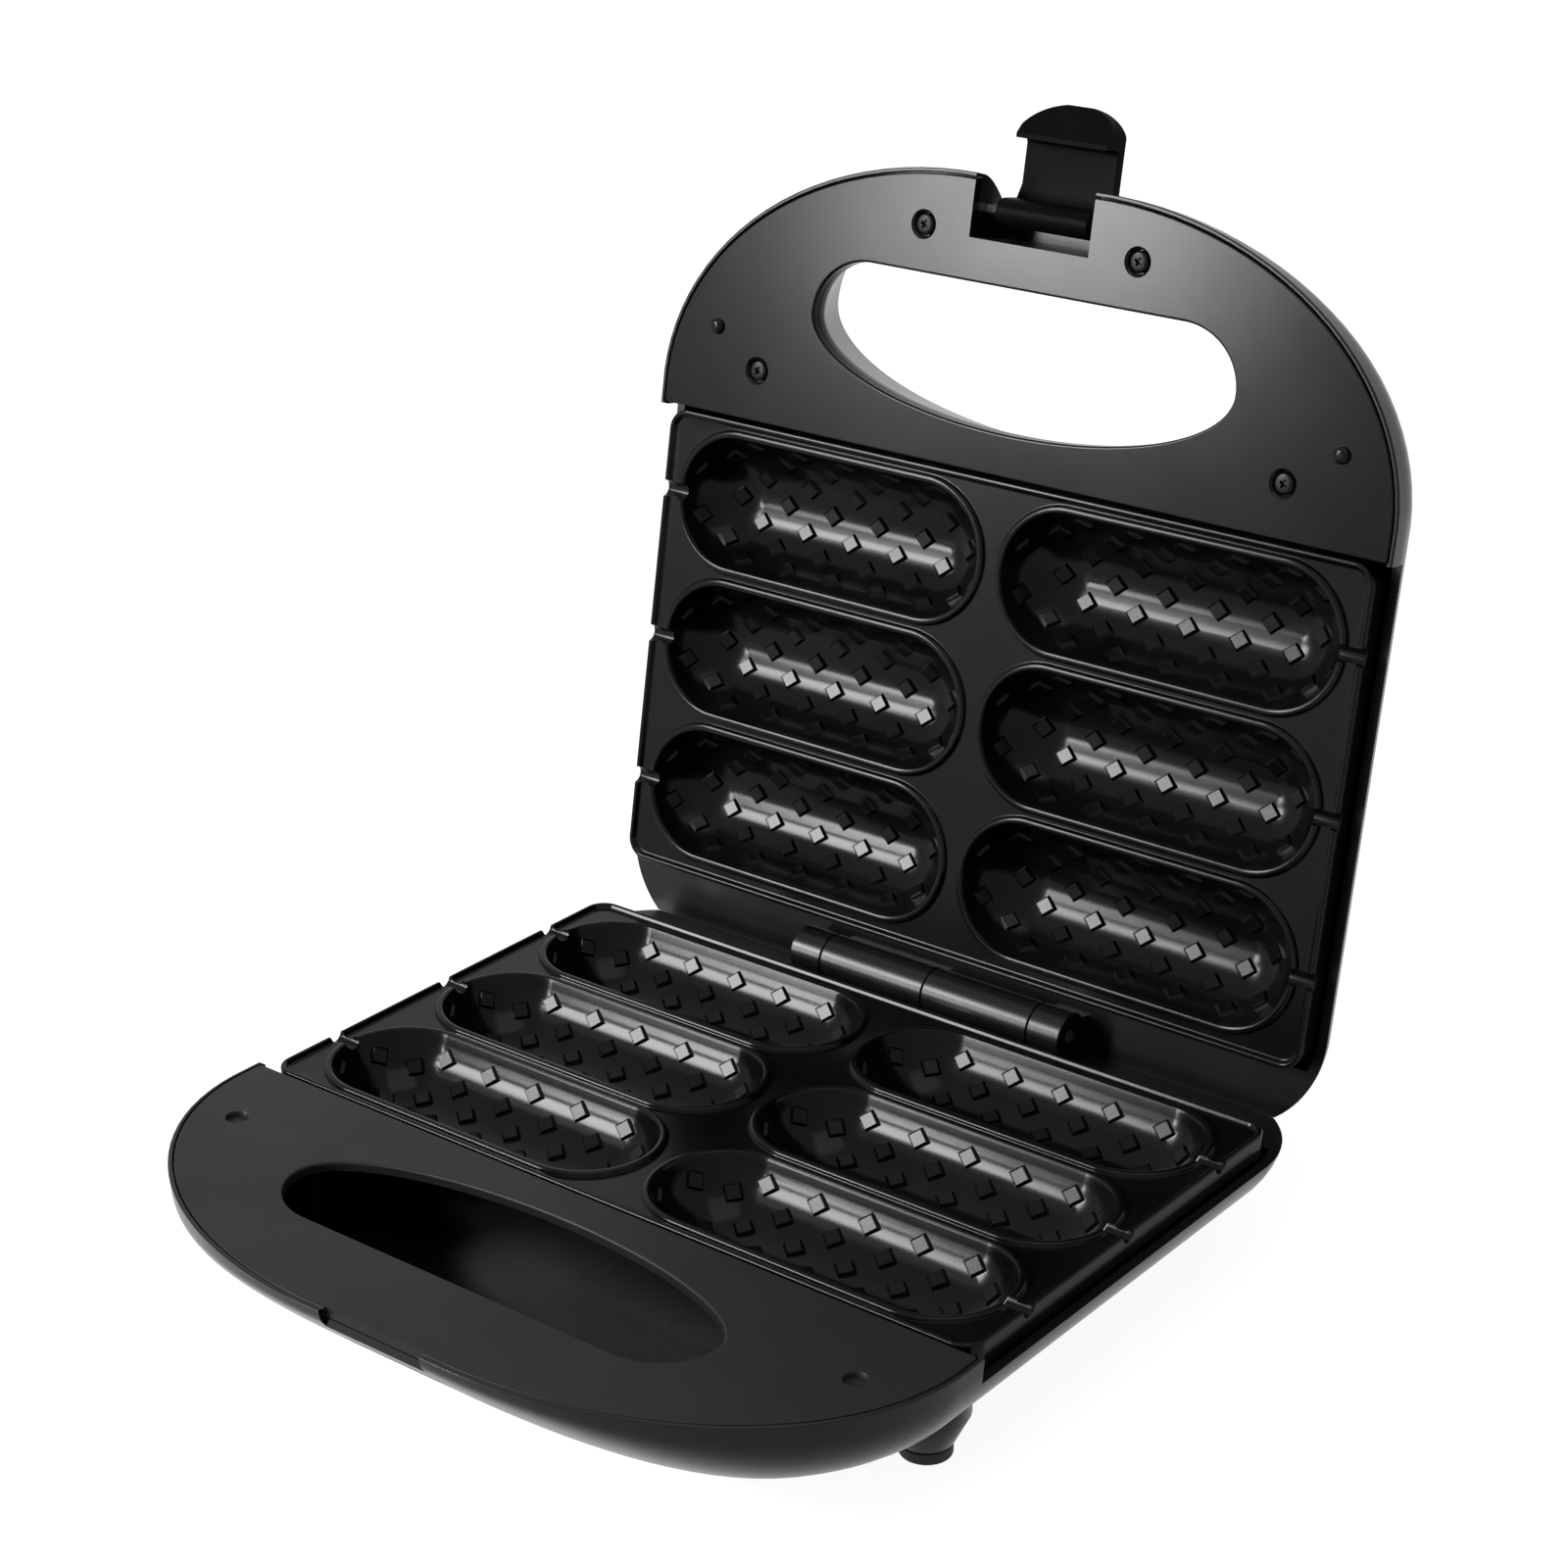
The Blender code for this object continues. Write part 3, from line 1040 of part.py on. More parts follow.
def make_lid_shell(parent):
    """The lid shell, open through its handle, with the latch notch and its outer holes."""
    shell = make_shell("lid", parent, False, SCREW_PAD_THICKNESS + CLEARANCE)
    bm = new_bmesh()
    add_flared_opening(bm, 0, -OVERRUN, SHELL_DEPTH + OVERRUN)
    cut(shell, make_tool("lid_shell_opening", bm, parent))
    bm = new_bmesh()
    add_block(bm, NOTCH_HALF_WIDTH, NOTCH_REAR, SHELL_FRONT + OVERRUN, -OVERRUN, NOTCH_FLOOR)
    cut(shell, make_tool("lid_shell_notch", bm, parent))

    bm = new_bmesh()
    centre = place(0, LATCH_PLACE, LATCH_PIVOT_DEPTH)
    ring = arc((centre.y, centre.z), (LATCH_PIN_BORE, LATCH_PIN_BORE), 0, 2 * math.pi, SMALL_STEPS)[:-1]
    reach = NOTCH_HALF_WIDTH + NOTCH_WALL + OVERRUN
    add_bar(bm, ring, -reach, reach)
    cut(shell, make_tool("lid_shell_latch_bore", bm, parent))

    bm = new_bmesh()
    for centre in cover_screw_places():
        bottom = SCREW_SINK + SCREW_LENGTH + CLEARANCE
        add_pin(bm, centre, SCREW_PAD_THICKNESS - OVERRUN, bottom, SCREW_BORE)
    cut(shell, make_tool("lid_shell_screw_bores", bm, parent))

    bm = new_bmesh()
    hole = LAMP_RADIUS + CLEARANCE
    for side in (-1, 1):
        centre = (side * LAMP_OFFSET, LAMP_PLACE)
        add_pin(bm, centre, FLOOR_DEPTH - OVERRUN, SHELL_DEPTH + OVERRUN, hole, ROUND_STEPS)
    cap_seat = SHELL_DEPTH - CAP_THICKNESS - CLEARANCE
    add_pin(bm, (0, MIDDLE_ROW), cap_seat, SHELL_DEPTH + OVERRUN, CAP_RADIUS + CLEARANCE, ROUND_STEPS)
    cut(shell, make_tool("lid_shell_outer_holes", bm, parent))
    return shell


def make_lid_cover(parent):
    """The lid cover, notched for the latch, with sunk screw holes and two nubs."""
    cover = make_cover("lid", parent, SCREW_PAD_THICKNESS)
    bm = new_bmesh()
    add_block(bm, NOTCH_HALF_WIDTH, NOTCH_REAR, SHELL_FRONT + OVERRUN, -OVERRUN,
              SCREW_PAD_THICKNESS + OVERRUN)
    cut(cover, make_tool("lid_cover_notch", bm, parent))
    bm = new_bmesh()
    seat = SCREW_SINK + SCREW_HEAD_HEIGHT + CLEARANCE
    for centre in cover_screw_places():
        add_round(bm, centre, ((-OVERRUN, SCREW_HEAD_BORE), (seat, SCREW_HEAD_BORE), (seat, SCREW_BORE),
                               (SCREW_PAD_THICKNESS + OVERRUN, SCREW_BORE)), SMALL_STEPS)
    cut(cover, make_tool("lid_cover_bores", bm, parent))
    bm = new_bmesh()
    for side in (-1, 1):
        centre = (side * NUB_PLACE[0], NUB_PLACE[1])
        add_round(bm, centre, ((-NUB_HEIGHT, NUB_RADIUS / 2), (-NUB_HEIGHT / 2, NUB_RADIUS),
                               (COVER_THICKNESS / 2, NUB_RADIUS)), SMALL_STEPS)
    join(cover, make_tool("lid_cover_nubs", bm, parent))
    return cover


def make_lid_screws(parent):
    for number, centre in enumerate(cover_screw_places(), 1):
        make_screw("lid_cover_screw_%d" % number, parent, centre, SCREW_SINK, SCREW_SINK + SCREW_HEAD_HEIGHT,
                   SCREW_SINK + SCREW_LENGTH, (SCREW_RADIUS, SCREW_HEAD_RADIUS))


def make_screw_cap(parent):
    bm = new_bmesh()
    stations = ((SHELL_DEPTH - CAP_THICKNESS, CAP_RADIUS), (SHELL_DEPTH - CAP_CHAMFER, CAP_RADIUS),
                (SHELL_DEPTH, CAP_RADIUS - CAP_CHAMFER))
    add_round(bm, (0, MIDDLE_ROW), stations)
    return make_object("lid_screw_cap", bm, shell_plastic(), parent, place(0, MIDDLE_ROW, SHELL_DEPTH))


def make_lamps(parent):
    """Two domed lenses, each held by a flange inside the lid."""
    rows = (("power_lamp", 1, lamp_red()), ("ready_lamp", -1, lamp_green()))
    for name, side, surface in rows:
        centre = (side * LAMP_OFFSET, LAMP_PLACE)
        flange = FLOOR_DEPTH - CLEARANCE
        stations = [(flange - LAMP_FLANGE, LAMP_FLANGE_RADIUS), (flange, LAMP_FLANGE_RADIUS),
                    (flange, LAMP_RADIUS)]
        for step in range(DOME_STEPS):
            angle = math.pi / 2 * step / DOME_STEPS
            stations.append((SHELL_DEPTH + LAMP_DOME * math.sin(angle), LAMP_RADIUS * math.cos(angle)))
        bm = new_bmesh()
        add_round(bm, centre, stations)
        make_object(name, bm, surface, parent, place(*centre, SHELL_DEPTH))


def latch_profile():
    """The latch in section about its pivot, as (out of the lid's top, towards the hook)."""
    lip = RIM_GAP + LATCH_PIVOT_DEPTH + CATCH_LIP_DEPTH + CLEARANCE
    outer = LATCH_BODY_OFFSET + LATCH_BODY
    tip = LATCH_BODY_OFFSET - LATCH_HOOK_REACH
    hub = LATCH_HUB_RADIUS
    crest = lip + LATCH_TAB
    crown = [(tip, lip + LATCH_TIP), (outer - LATCH_CREST, crest), (outer, crest - LATCH_CREST)]
    back = arc((0, hub), (outer, 2 * hub), 0, -math.pi / 2, CORNER_STEPS)
    rear = arc((0, 0), (hub, hub), -math.pi / 2, -1.5 * math.pi, CORNER_STEPS)
    inner = [(LATCH_BODY_OFFSET - hub / 2, hub), (LATCH_BODY_OFFSET, 2 * hub), (LATCH_BODY_OFFSET, lip)]
    return [(tip, lip)] + crown + back + rear[1:] + inner


def above_arch(half, low, high):
    """All that lies over an arch, as (across, towards the hook)."""
    wide = half + OVERRUN
    points = arc((0, low), (half + CLEARANCE, high - low + CLEARANCE), 0, math.pi, FRONT_STEPS)
    return points + [(-wide, low), (-wide, high + OVERRUN), (wide, high + OVERRUN), (wide, low)]


def make_latch(parent):
    """The latch that swings down over the base's lip, shown swung open."""
    half = LATCH_WIDTH / 2
    rings = [[Vector((x, -toward_hook, -outward)) for outward, toward_hook in latch_profile()]
             for x in (-half, half)]
    bm = new_bmesh()
    add_skin(bm, rings)
    latch = make_object("latch", bm, shell_plastic(), parent)
    bm = new_bmesh()
    ring = arc((0, 0), (LATCH_PIN_BORE, LATCH_PIN_BORE), 0, 2 * math.pi, SMALL_STEPS)[:-1]
    add_bar(bm, ring, -half - OVERRUN, half + OVERRUN)
    cut(latch, make_tool("latch_bore", bm, parent))
    bm = new_bmesh()
    lip = latch_profile()[0][1]
    arch = above_arch(half, lip + LATCH_TIP, lip + LATCH_TAB)
    outer = LATCH_BODY_OFFSET + LATCH_BODY + OVERRUN
    rings = [[Vector((x, -toward_hook, -outward)) for x, toward_hook in arch]
             for outward in (-OVERRUN, outer)]
    add_skin(bm, rings)
    cut(latch, make_tool("latch_arch", bm, parent))
    return latch


def make_latch_pin(parent):
    centre = place(0, LATCH_PLACE, LATCH_PIVOT_DEPTH)
    ring = arc((centre.y, centre.z), (LATCH_PIN_RADIUS, LATCH_PIN_RADIUS), 0, 2 * math.pi, SMALL_STEPS)[:-1]
    reach = NOTCH_HALF_WIDTH + NOTCH_WALL - CLEARANCE
    bm = new_bmesh()
    add_bar(bm, ring, -reach, reach)
    return make_object("latch_pin", bm, bare_steel(), parent, centre)


def make_cooking_set(prefix, parent):
    """What both halves hold alike."""
    make_plate(prefix, parent)
    make_heater(prefix, parent)
    make_clamp(prefix, parent)
    make_reflector(prefix, parent)
    make_centre_screw(prefix, parent)


def make_base(root):
    frame = make_empty("base_frame", root, (0, 0, 0))
    make_base_shell(frame)
    make_base_cover(frame)
    make_base_screws(frame)
    make_cooking_set("base", frame)
    make_thermostat(frame)
    make_thermal_fuse(frame)
    make_terminal_block(frame)
    make_cord_gland(frame)
    make_feet(frame)
    make_hinge_pin(frame)


def make_lid(root):
    """The lid half: turned over about the hinge, then swung up and back."""
    swing = make_empty("lid_hinge", root, (0, 0, 0), (-OPEN_ANGLE, 0, 0))
    frame = make_empty("lid_frame", swing, (0, 0, 0), (0, math.pi, 0))
    make_lid_shell(frame)
    make_lid_cover(frame)
    make_lid_screws(frame)
    make_cooking_set("lid", frame)
    make_screw_cap(frame)
    make_lamps(frame)
    make_latch_pin(frame)
    pivot = make_empty("latch_pivot", frame, place(0, LATCH_PLACE, LATCH_PIVOT_DEPTH))
    make_latch(pivot)


def clear_scene():
    for item in list(bpy.data.objects):
        bpy.data.objects.remove(item, do_unlink=True)


def centre_over_origin(root):
    """Moves the machine so that the middle of its outline stands over the origin."""
    bpy.context.view_layer.update()
    graph = bpy.context.evaluated_depsgraph_get()
    reach = []
    for item in bpy.data.objects:
        if item.type != "MESH" or item.hide_render:
            continue
        seen = item.evaluated_get(graph)
        mesh = seen.to_mesh()
        reach += [(seen.matrix_world @ corner.co).y for corner in mesh.vertices]
        seen.to_mesh_clear()
    root.location.y -= (min(reach) + max(reach)) / 2


def main():
    clear_scene()
    root = make_empty("corn_dog_maker", None, (0, 0, HINGE_HEIGHT))
    make_base(root)
    make_lid(root)
    centre_over_origin(root)


main()
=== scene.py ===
"""Looks of a corn dog maker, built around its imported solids."""
from math import acos, asin, atan2, copysign, cos, hypot, pi, radians, sin, sqrt, tan

import bmesh
import bpy
from bpy.props import FloatProperty, FloatVectorProperty, IntProperty, PointerProperty
from bpy.types import Operator, Panel, PropertyGroup
from mathutils import Matrix, Vector


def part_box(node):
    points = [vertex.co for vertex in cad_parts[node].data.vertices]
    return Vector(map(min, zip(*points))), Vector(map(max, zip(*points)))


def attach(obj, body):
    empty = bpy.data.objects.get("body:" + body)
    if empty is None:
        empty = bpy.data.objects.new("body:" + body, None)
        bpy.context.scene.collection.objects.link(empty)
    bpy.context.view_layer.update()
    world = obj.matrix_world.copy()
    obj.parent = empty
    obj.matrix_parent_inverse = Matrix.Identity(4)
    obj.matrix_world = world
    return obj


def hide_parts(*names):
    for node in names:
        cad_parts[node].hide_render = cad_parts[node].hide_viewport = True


bl_info = {
    "name": "Corn Dog Maker Looks",
    "version": (1, 0, 0),
    "blender": (4, 5, 0),
    "location": "3D View > Sidebar > Corn Dog Maker",
    "description": "Builds the visible pieces of a corn dog maker around its solids",
    "category": "Object",
}

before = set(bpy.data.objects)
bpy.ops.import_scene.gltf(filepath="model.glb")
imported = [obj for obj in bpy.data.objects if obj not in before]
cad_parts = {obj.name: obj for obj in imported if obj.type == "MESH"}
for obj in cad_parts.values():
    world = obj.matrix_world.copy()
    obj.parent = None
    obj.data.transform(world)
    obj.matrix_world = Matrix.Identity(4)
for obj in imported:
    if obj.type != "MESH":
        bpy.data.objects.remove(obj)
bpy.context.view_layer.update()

MM = 0.001
QUADRANTS = ((1, 1), (-1, 1), (-1, -1), (1, -1))
WHITE = (1.0, 1.0, 1.0, 1.0)
OPEN_ANGLE = radians(100)
SHARP_ANGLE = radians(32)
HALF_GAP = 0.0004
OVERRUN = 0.002
GAP = 0.0003
ENLARGED = 1e4
HAIR = 0.01
SMALL_CORNER = 1.0 * MM
SCREW_BORE = 1.7 * MM
SCREW_HEAD = 2.8 * MM
HEAD_HEIGHT = 1.9 * MM
BOSS = 4.5 * MM
NOTCH = (18.2 * MM, 199.7 * MM)
CATCH = (15.5 * MM, 213.9 * MM)
NUB_PLACE = (96.5 * MM, 164 * MM)
LAMP_PLACE = (10 * MM, 129 * MM)
MOULD_STEPS = 88
OPENING_STEPS = 128
INWARD_FLARE = 0.4
FLOOR_GLOW = 0.92

PIN_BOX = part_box("hinge_pin")
HINGE = (PIN_BOX[0] + PIN_BOX[1]) / 2
PIN_HALF = (PIN_BOX[1].x - PIN_BOX[0].x) / 2
TURNED = Matrix.Rotation(pi, 4, "X")
TO_BASE = Matrix.Translation(HINGE + Vector((0, 0, -HALF_GAP))) @ TURNED
TO_LID = (Matrix.Translation(HINGE) @ Matrix.Rotation(-OPEN_ANGLE, 4, "X")
          @ Matrix.Rotation(pi, 4, "Y") @ Matrix.Translation((0, 0, -HALF_GAP)) @ TURNED)
ALONG_U = Matrix.Rotation(pi / 2, 4, "Y")
AXIS = Matrix.Translation((0, 0, -HALF_GAP)) @ ALONG_U
CORD_WAY = Matrix.Translation((-60 * MM, 0, 20.5 * MM)) @ Matrix.Rotation(pi / 2, 4, "X")

HALF_NAMES = ("base", "lid")
PLACES = {"base": TO_BASE, "lid": TO_LID, "latch": TO_LID}


def length(name, text, value):
    """A length property in metres."""
    return FloatProperty(name=name, description=text, default=value, min=0.0, unit="LENGTH", precision=4)


def colour(name, text, value):
    """A colour property."""
    return FloatVectorProperty(name=name, description=text, default=value, size=3, subtype="COLOR",
                               min=0.0, max=1.0)


def share(name, text, value):
    """A property between nothing and all."""
    return FloatProperty(name=name, description=text, default=value, min=0.0, max=1.0, subtype="FACTOR")


class CORNDOG_PG_shell(PropertyGroup):
    half_width: length("Half width", "Half the width of each shell", 0.1140)
    rear: length("Rear overhang", "How far the shell reaches behind the hinge axis", 0.0130)
    rear_corner: length("Rear corner", "Radius of the rear corners at the rim", 0.0300)
    centre: length("Handle centre", "Place along the half where the round front starts", 0.1470)
    reach: length("Handle reach", "Length of the round front from its centre", 0.0692)
    shoulder: length("Handle shoulder", "Half the straight middle of the round front", 0.0200)
    base_rise: share("Base rise", "How much shallower the base shell gets at the front of its handle", 0.61)
    lid_rise: share("Lid rise", "How much shallower the lid shell gets at the front of its handle", 0.33)
    depth: length("Depth", "Depth of a shell from rim to floor", 0.02798)
    side_depth: length("Side depth", "Depth of the upright side below the rim", 0.0040)
    edge_run: length("Edge run", "Width over which the side curves into the floor", 0.0385)
    wall: length("Wall", "Thickness of the moulded wall", 0.0025)
    rim_step: length("Rim step", "How far the rim beside the plate lies below the joint", 0.0070)
    edge_round: length("Edge round", "Rounding of the outer rim", 0.0005)


class CORNDOG_PG_plate(PropertyGroup):
    half_width: length("Half width", "Half the width of a cooking plate", 0.1100)
    rear: length("Rear edge", "Distance from the hinge axis to the plate", 0.0095)
    front: length("Front edge", "Distance from the hinge axis to the plate's far edge", 0.1395)
    corner: length("Corner", "Radius of the plate's corners", 0.0060)
    skirt: length("Skirt", "Depth of the plate's outer skirt", 0.0075)
    sheet: length("Sheet", "Thickness of the cast plate", 0.0025)
    mould_radius: length("Mould radius", "Radius of a mould's round section", 0.0183)
    mould_rise: length("Mould rise", "Height of the section's centre above the joint", 0.0033)
    mould_straight: length("Mould straight", "Straight length of a mould", 0.0632)
    column: length("Column place", "Distance of a mould's middle from the plate's middle", 0.0536)
    first_row: length("First row", "Place of the mould nearest the hinge", 0.0337)
    pitch: length("Row pitch", "Distance between two rows", 0.0415)
    pad_height: length("Pad height", "Height of the diamond pads in a mould", 0.0010)
    groove: length("Stick groove", "Radius of the stick grooves", 0.00225)


class CORNDOG_PG_handle(PropertyGroup):
    rim: length("Rim", "Width of shell rim round the cover", 0.0012)
    rear: length("Cover rear", "Place of the cover's straight rear edge", 0.1405)
    thickness: length("Cover thickness", "Thickness of the handle covers", 0.0025)
    opening_place: length("Opening place", "Place of the finger opening", 0.1730)
    opening_half: length("Opening half length", "Half the length of the opening", 0.0650)
    opening_outer: length("Opening outer", "Reach of the opening towards the handle", 0.0155)
    opening_inner: length("Opening inner", "Reach of the opening towards the plate", 0.0215)
    opening_corner: length("Opening corner", "Length of the opening's rounded ends", 0.0170)
    opening_wall: length("Opening wall", "Wall round the lid's opening", 0.0022)
    opening_round: length("Opening round", "Rounding of the opening's edge", 0.0007)
    flare_start: length("Flare start", "Depth at which the lid's opening starts to flare", 0.0050)
    flare: length("Flare", "How far the opening has flared at the shell's full depth", 0.0120)


class CORNDOG_PG_fittings(PropertyGroup):
    barrel: length("Barrel radius", "Radius of the hinge barrel", 0.0065)
    barrel_half: length("Barrel half length", "Half the length of the hinge barrel", 0.0440)
    barrel_short: length("Short knuckle", "Length of an end knuckle", 0.0100)
    pin: length("Hinge pin radius", "Radius of the hinge pin", 0.0020)
    latch_half: length("Latch half width", "Half the width of the latch", 0.0140)
    latch_place: length("Latch place", "Place of the latch pin along the lid", 0.2068)
    latch_depth: length("Latch depth", "Depth of the latch pin in the lid", 0.0077)
    foot_height: length("Foot height", "Height of the shell above the table", 0.0090)
    foot_radius: length("Foot radius", "Radius of a rubber foot", 0.0064)
    steps: IntProperty(name="Steps", description="Facets round a full outline", default=96, min=24, max=256)


class CORNDOG_PG_finishes(PropertyGroup):
    shell: colour("Shell plastic", "Colour of the satin black shells", (0.0036, 0.0036, 0.0039))
    # The latch's colour is the shell plastic's made darker, as painted shade for a face turned away from the
    # lamps
    latch: colour("Latch plastic", "Colour of the latch", (0.0022, 0.0022, 0.0024))
    lid_cover: colour("Lid cover plastic", "Colour of the lid's handle cover", (0.0036, 0.0036, 0.0039))
    base_cover: colour("Base cover plastic", "Colour of the base's handle cover", (0.0056, 0.0057, 0.0059))
    coating: colour("Plate coating", "Colour of the non-stick coating", (0.0020, 0.0020, 0.0022))
    steel: colour("Steel", "Colour of bare steel", (0.52, 0.52, 0.53))
    dark_steel: colour("Dark steel", "Colour of the blackened screws", (0.010, 0.010, 0.0105))
    rubber: colour("Rubber", "Colour of the feet and the cord bush", (0.012, 0.012, 0.012))
    floor: colour("Floor", "Colour of the studio floor", (0.22, 0.22, 0.22))
    gloss: share("Coating gloss", "Smoothness of the non-stick coating", 0.83)


GROUPS = (("corn_dog_shell", CORNDOG_PG_shell), ("corn_dog_plate", CORNDOG_PG_plate),
          ("corn_dog_handle", CORNDOG_PG_handle), ("corn_dog_fittings", CORNDOG_PG_fittings),
          ("corn_dog_finishes", CORNDOG_PG_finishes))


def settings(name):
    """One of the scene's groups of properties."""
    return getattr(bpy.context.scene, "corn_dog_" + name)



# Outlines and solids, drawn in a half's own frame: u across, v away from the hinge, depth into the shell

def edges_of(verts):
    return list({edge for v in verts for edge in v.link_edges})


def ring(bm, quarters, depth, steps):
    """The edges of a closed ring: a circle whose four quarters are stretched and moved apart."""
    turn = Matrix.Rotation(pi / steps, 4, "Z")
    verts = bmesh.ops.create_circle(bm, segments=steps, radius=1.0, matrix=turn)["verts"]
    groups = [[v for v in verts if v.co.x * a > 0 and v.co.y * b > 0] for a, b in QUADRANTS]
    for group, (wide, long, across, along) in zip(groups, quarters):
        bmesh.ops.scale(bm, vec=(wide, long, 1.0), verts=group)
        bmesh.ops.translate(bm, vec=(across, along, depth), verts=group)
    return edges_of(verts)


def loft(bm, rings, capped=True):
    """A skin over rings of edges, with flat ends or joined round to the first ring.

    Two rings in one plane are first set a hair apart, and all is enlarged meanwhile, because
    bridging takes its direction from the distance between the rings' middles."""
    bmesh.ops.scale(bm, vec=(ENLARGED,) * 3, verts=bm.verts)
    for near, far in zip(rings, rings[1:]):
        if abs(near[0].verts[0].co.z - far[0].verts[0].co.z) < HAIR:
            verts = list({v for edge in far for v in edge.verts})
            bmesh.ops.translate(bm, vec=(0, 0, 2 * HAIR), verts=verts)
        bmesh.ops.bridge_loops(bm, edges=near + far)
    bmesh.ops.scale(bm, vec=(1 / ENLARGED,) * 3, verts=bm.verts)
    if capped:
        bmesh.ops.contextual_create(bm, geom=rings[0])
        bmesh.ops.contextual_create(bm, geom=rings[-1])


def rectangle(half, rear, front, corner):
    """Quarters of a rounded rectangle."""
    across = half - corner
    return ((corner, corner, across, front - corner), (corner, corner, -across, front - corner),
            (corner, corner, -across, rear + corner), (corner, corner, across, rear + corner))


def stadium(half, radius, column=0.0, row=0.0):
    """Quarters of a mould's outline."""
    right = (radius, radius, column + half, row)
    left = (radius, radius, column - half, row)
    return (right, left, left, right)


def disc(radius, column=0.0, row=0.0):
    """Quarters of a circle."""
    return ((radius, radius, column, row),) * 4


def half_oval(inset, rear, corner):
    """Quarters of the shell's outline: a front with a straight middle, and two rear corners."""
    shell = settings("shell")
    half = shell.half_width - inset
    front = (half - shell.shoulder, shell.reach - inset)
    return ((*front, shell.shoulder, shell.centre), (*front, -shell.shoulder, shell.centre),
            (corner, corner, corner - half, rear + corner), (corner, corner, half - corner, rear + corner))


def shell_quarters(inset):
    shell = settings("shell")
    return half_oval(inset, inset - shell.rear, shell.rear_corner * (1 - 0.75 * inset / shell.edge_run))


def opening_quarters(grow, inward=None):
    """Quarters of the finger opening, widened by grow, and by inward towards the plate."""
    handle = settings("handle")
    reach = handle.opening_half - handle.opening_corner
    end = (handle.opening_corner + grow, handle.opening_outer + grow)
    inner = (handle.opening_half + grow, handle.opening_inner + (grow if inward is None else inward))
    place = handle.opening_place
    return ((*end, reach, place), (*end, -reach, place), (*inner, 0.0, place), (*inner, 0.0, place))


def lofted(outlines, steps):
    """A solid through outlines, each given by its quarters and its depth."""
    bm = bmesh.new()
    loft(bm, [ring(bm, quarters, depth, steps) for quarters, depth in outlines])
    return bm


def block(half, rear, front, shallow, deep, column=0.0):
    """A box between two places and two depths."""
    bm = bmesh.new()
    middle = Matrix.Translation((column, (rear + front) / 2, (shallow + deep) / 2))
    size = Matrix.Diagonal((2 * half, front - rear, deep - shallow, 1.0))
    bmesh.ops.create_cube(bm, size=1.0, matrix=middle @ size)
    return bm


def turned(stations, column=0.0, row=0.0, steps=32, place=Matrix.Identity(4)):
    """A round solid from (depth, radius) stations."""
    bm = lofted([(disc(radius, column, row), depth) for depth, radius in stations], steps)
    bmesh.ops.transform(bm, matrix=place, verts=bm.verts)
    return bm


def mm(*pairs):
    """Pairs of numbers in millimetres as lengths."""
    return [(first * MM, second * MM) for first, second in pairs]


def quarter_turn(steps):
    return [pi / 2 * step / steps for step in range(steps + 1)]


def rounded_stations(top, bottom, radius, round_top, round_bottom):
    """Stations of a plain cylinder with rounded ends."""
    upper = [(top + round_top * (1 - sin(angle)), radius - round_top * (1 - cos(angle)))
             for angle in reversed(quarter_turn(4))]
    lower = [(bottom - round_bottom * (1 - sin(angle)), radius - round_bottom * (1 - cos(angle)))
             for angle in quarter_turn(4)]
    return upper + lower


def solid(name, bm):
    """A mesh object from closed shapes, its faces turned outwards."""
    bmesh.ops.recalc_face_normals(bm, faces=bm.faces)
    mesh = bpy.data.meshes.new(name)
    bm.to_mesh(mesh)
    bm.free()
    made = bpy.data.objects.new(name, mesh)
    bpy.context.collection.objects.link(made)
    return made


def combine(piece, bm, operation):
    """Applies a Boolean of the piece with a shape at once."""
    tool = solid(piece.name + "_tool", bm)
    modifier = piece.modifiers.new("combine", "BOOLEAN")
    modifier.operation = operation
    modifier.solver = "EXACT"
    modifier.object = tool
    graph = bpy.context.evaluated_depsgraph_get()
    graph.update()
    mesh = bpy.data.meshes.new_from_object(piece.evaluated_get(graph))
    piece.modifiers.clear()
    old = piece.data
    piece.data = mesh
    bpy.data.meshes.remove(old)
    used = tool.data
    bpy.data.objects.remove(tool)
    bpy.data.meshes.remove(used)


def cut(piece, bm):
    combine(piece, bm, "DIFFERENCE")


def join(piece, bm):
    combine(piece, bm, "UNION")


def bore(piece, radius, shallow, deep, *place):
    """Cuts a plain round hole between two depths."""
    cut(piece, turned(((shallow, radius), (deep, radius)), *place))


def taken(piece):
    """The shape of a piece, which is itself removed."""
    bm = bmesh.new()
    bm.from_mesh(piece.data)
    bpy.data.objects.remove(piece)
    return bm


def finish_piece(piece, body, node, finish, spot=Matrix.Identity(4)):
    """Puts a piece in its place, shades it, gives it its finish, parents it to its body and hides the solid
    that it replaces.
    """
    made, slot = finish
    bm = bmesh.new()
    bm.from_mesh(piece.data)
    bmesh.ops.transform(bm, matrix=PLACES[body] @ spot, verts=bm.verts)
    bmesh.ops.remove_doubles(bm, verts=bm.verts, dist=1e-6)
    bmesh.ops.dissolve_degenerate(bm, edges=bm.edges, dist=5e-7)
    bmesh.ops.recalc_face_normals(bm, faces=bm.faces)
    open_edges = [edge for edge in bm.edges if len(edge.link_faces) != 2]
    if open_edges:
        print(f"{piece.name} has {len(open_edges)} open edges")
    bm.to_mesh(piece.data)
    bm.free()
    piece.data.shade_smooth()
    piece.data.set_sharp_from_angle(angle=SHARP_ANGLE)
    piece.data.materials.clear()
    piece.data.materials.append(made)
    modifier = piece.modifiers.new("weighted normals", "WEIGHTED_NORMAL")
    modifier.keep_sharp = True
    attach(piece, body)
    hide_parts(node)


# Materials

def new_material(name):
    found = bpy.data.materials.get(name)
    if found:
        return found, None, None
    made = bpy.data.materials.new(name)
    made.use_nodes = True
    return made, made.node_tree, made.node_tree.nodes["Principled BSDF"]


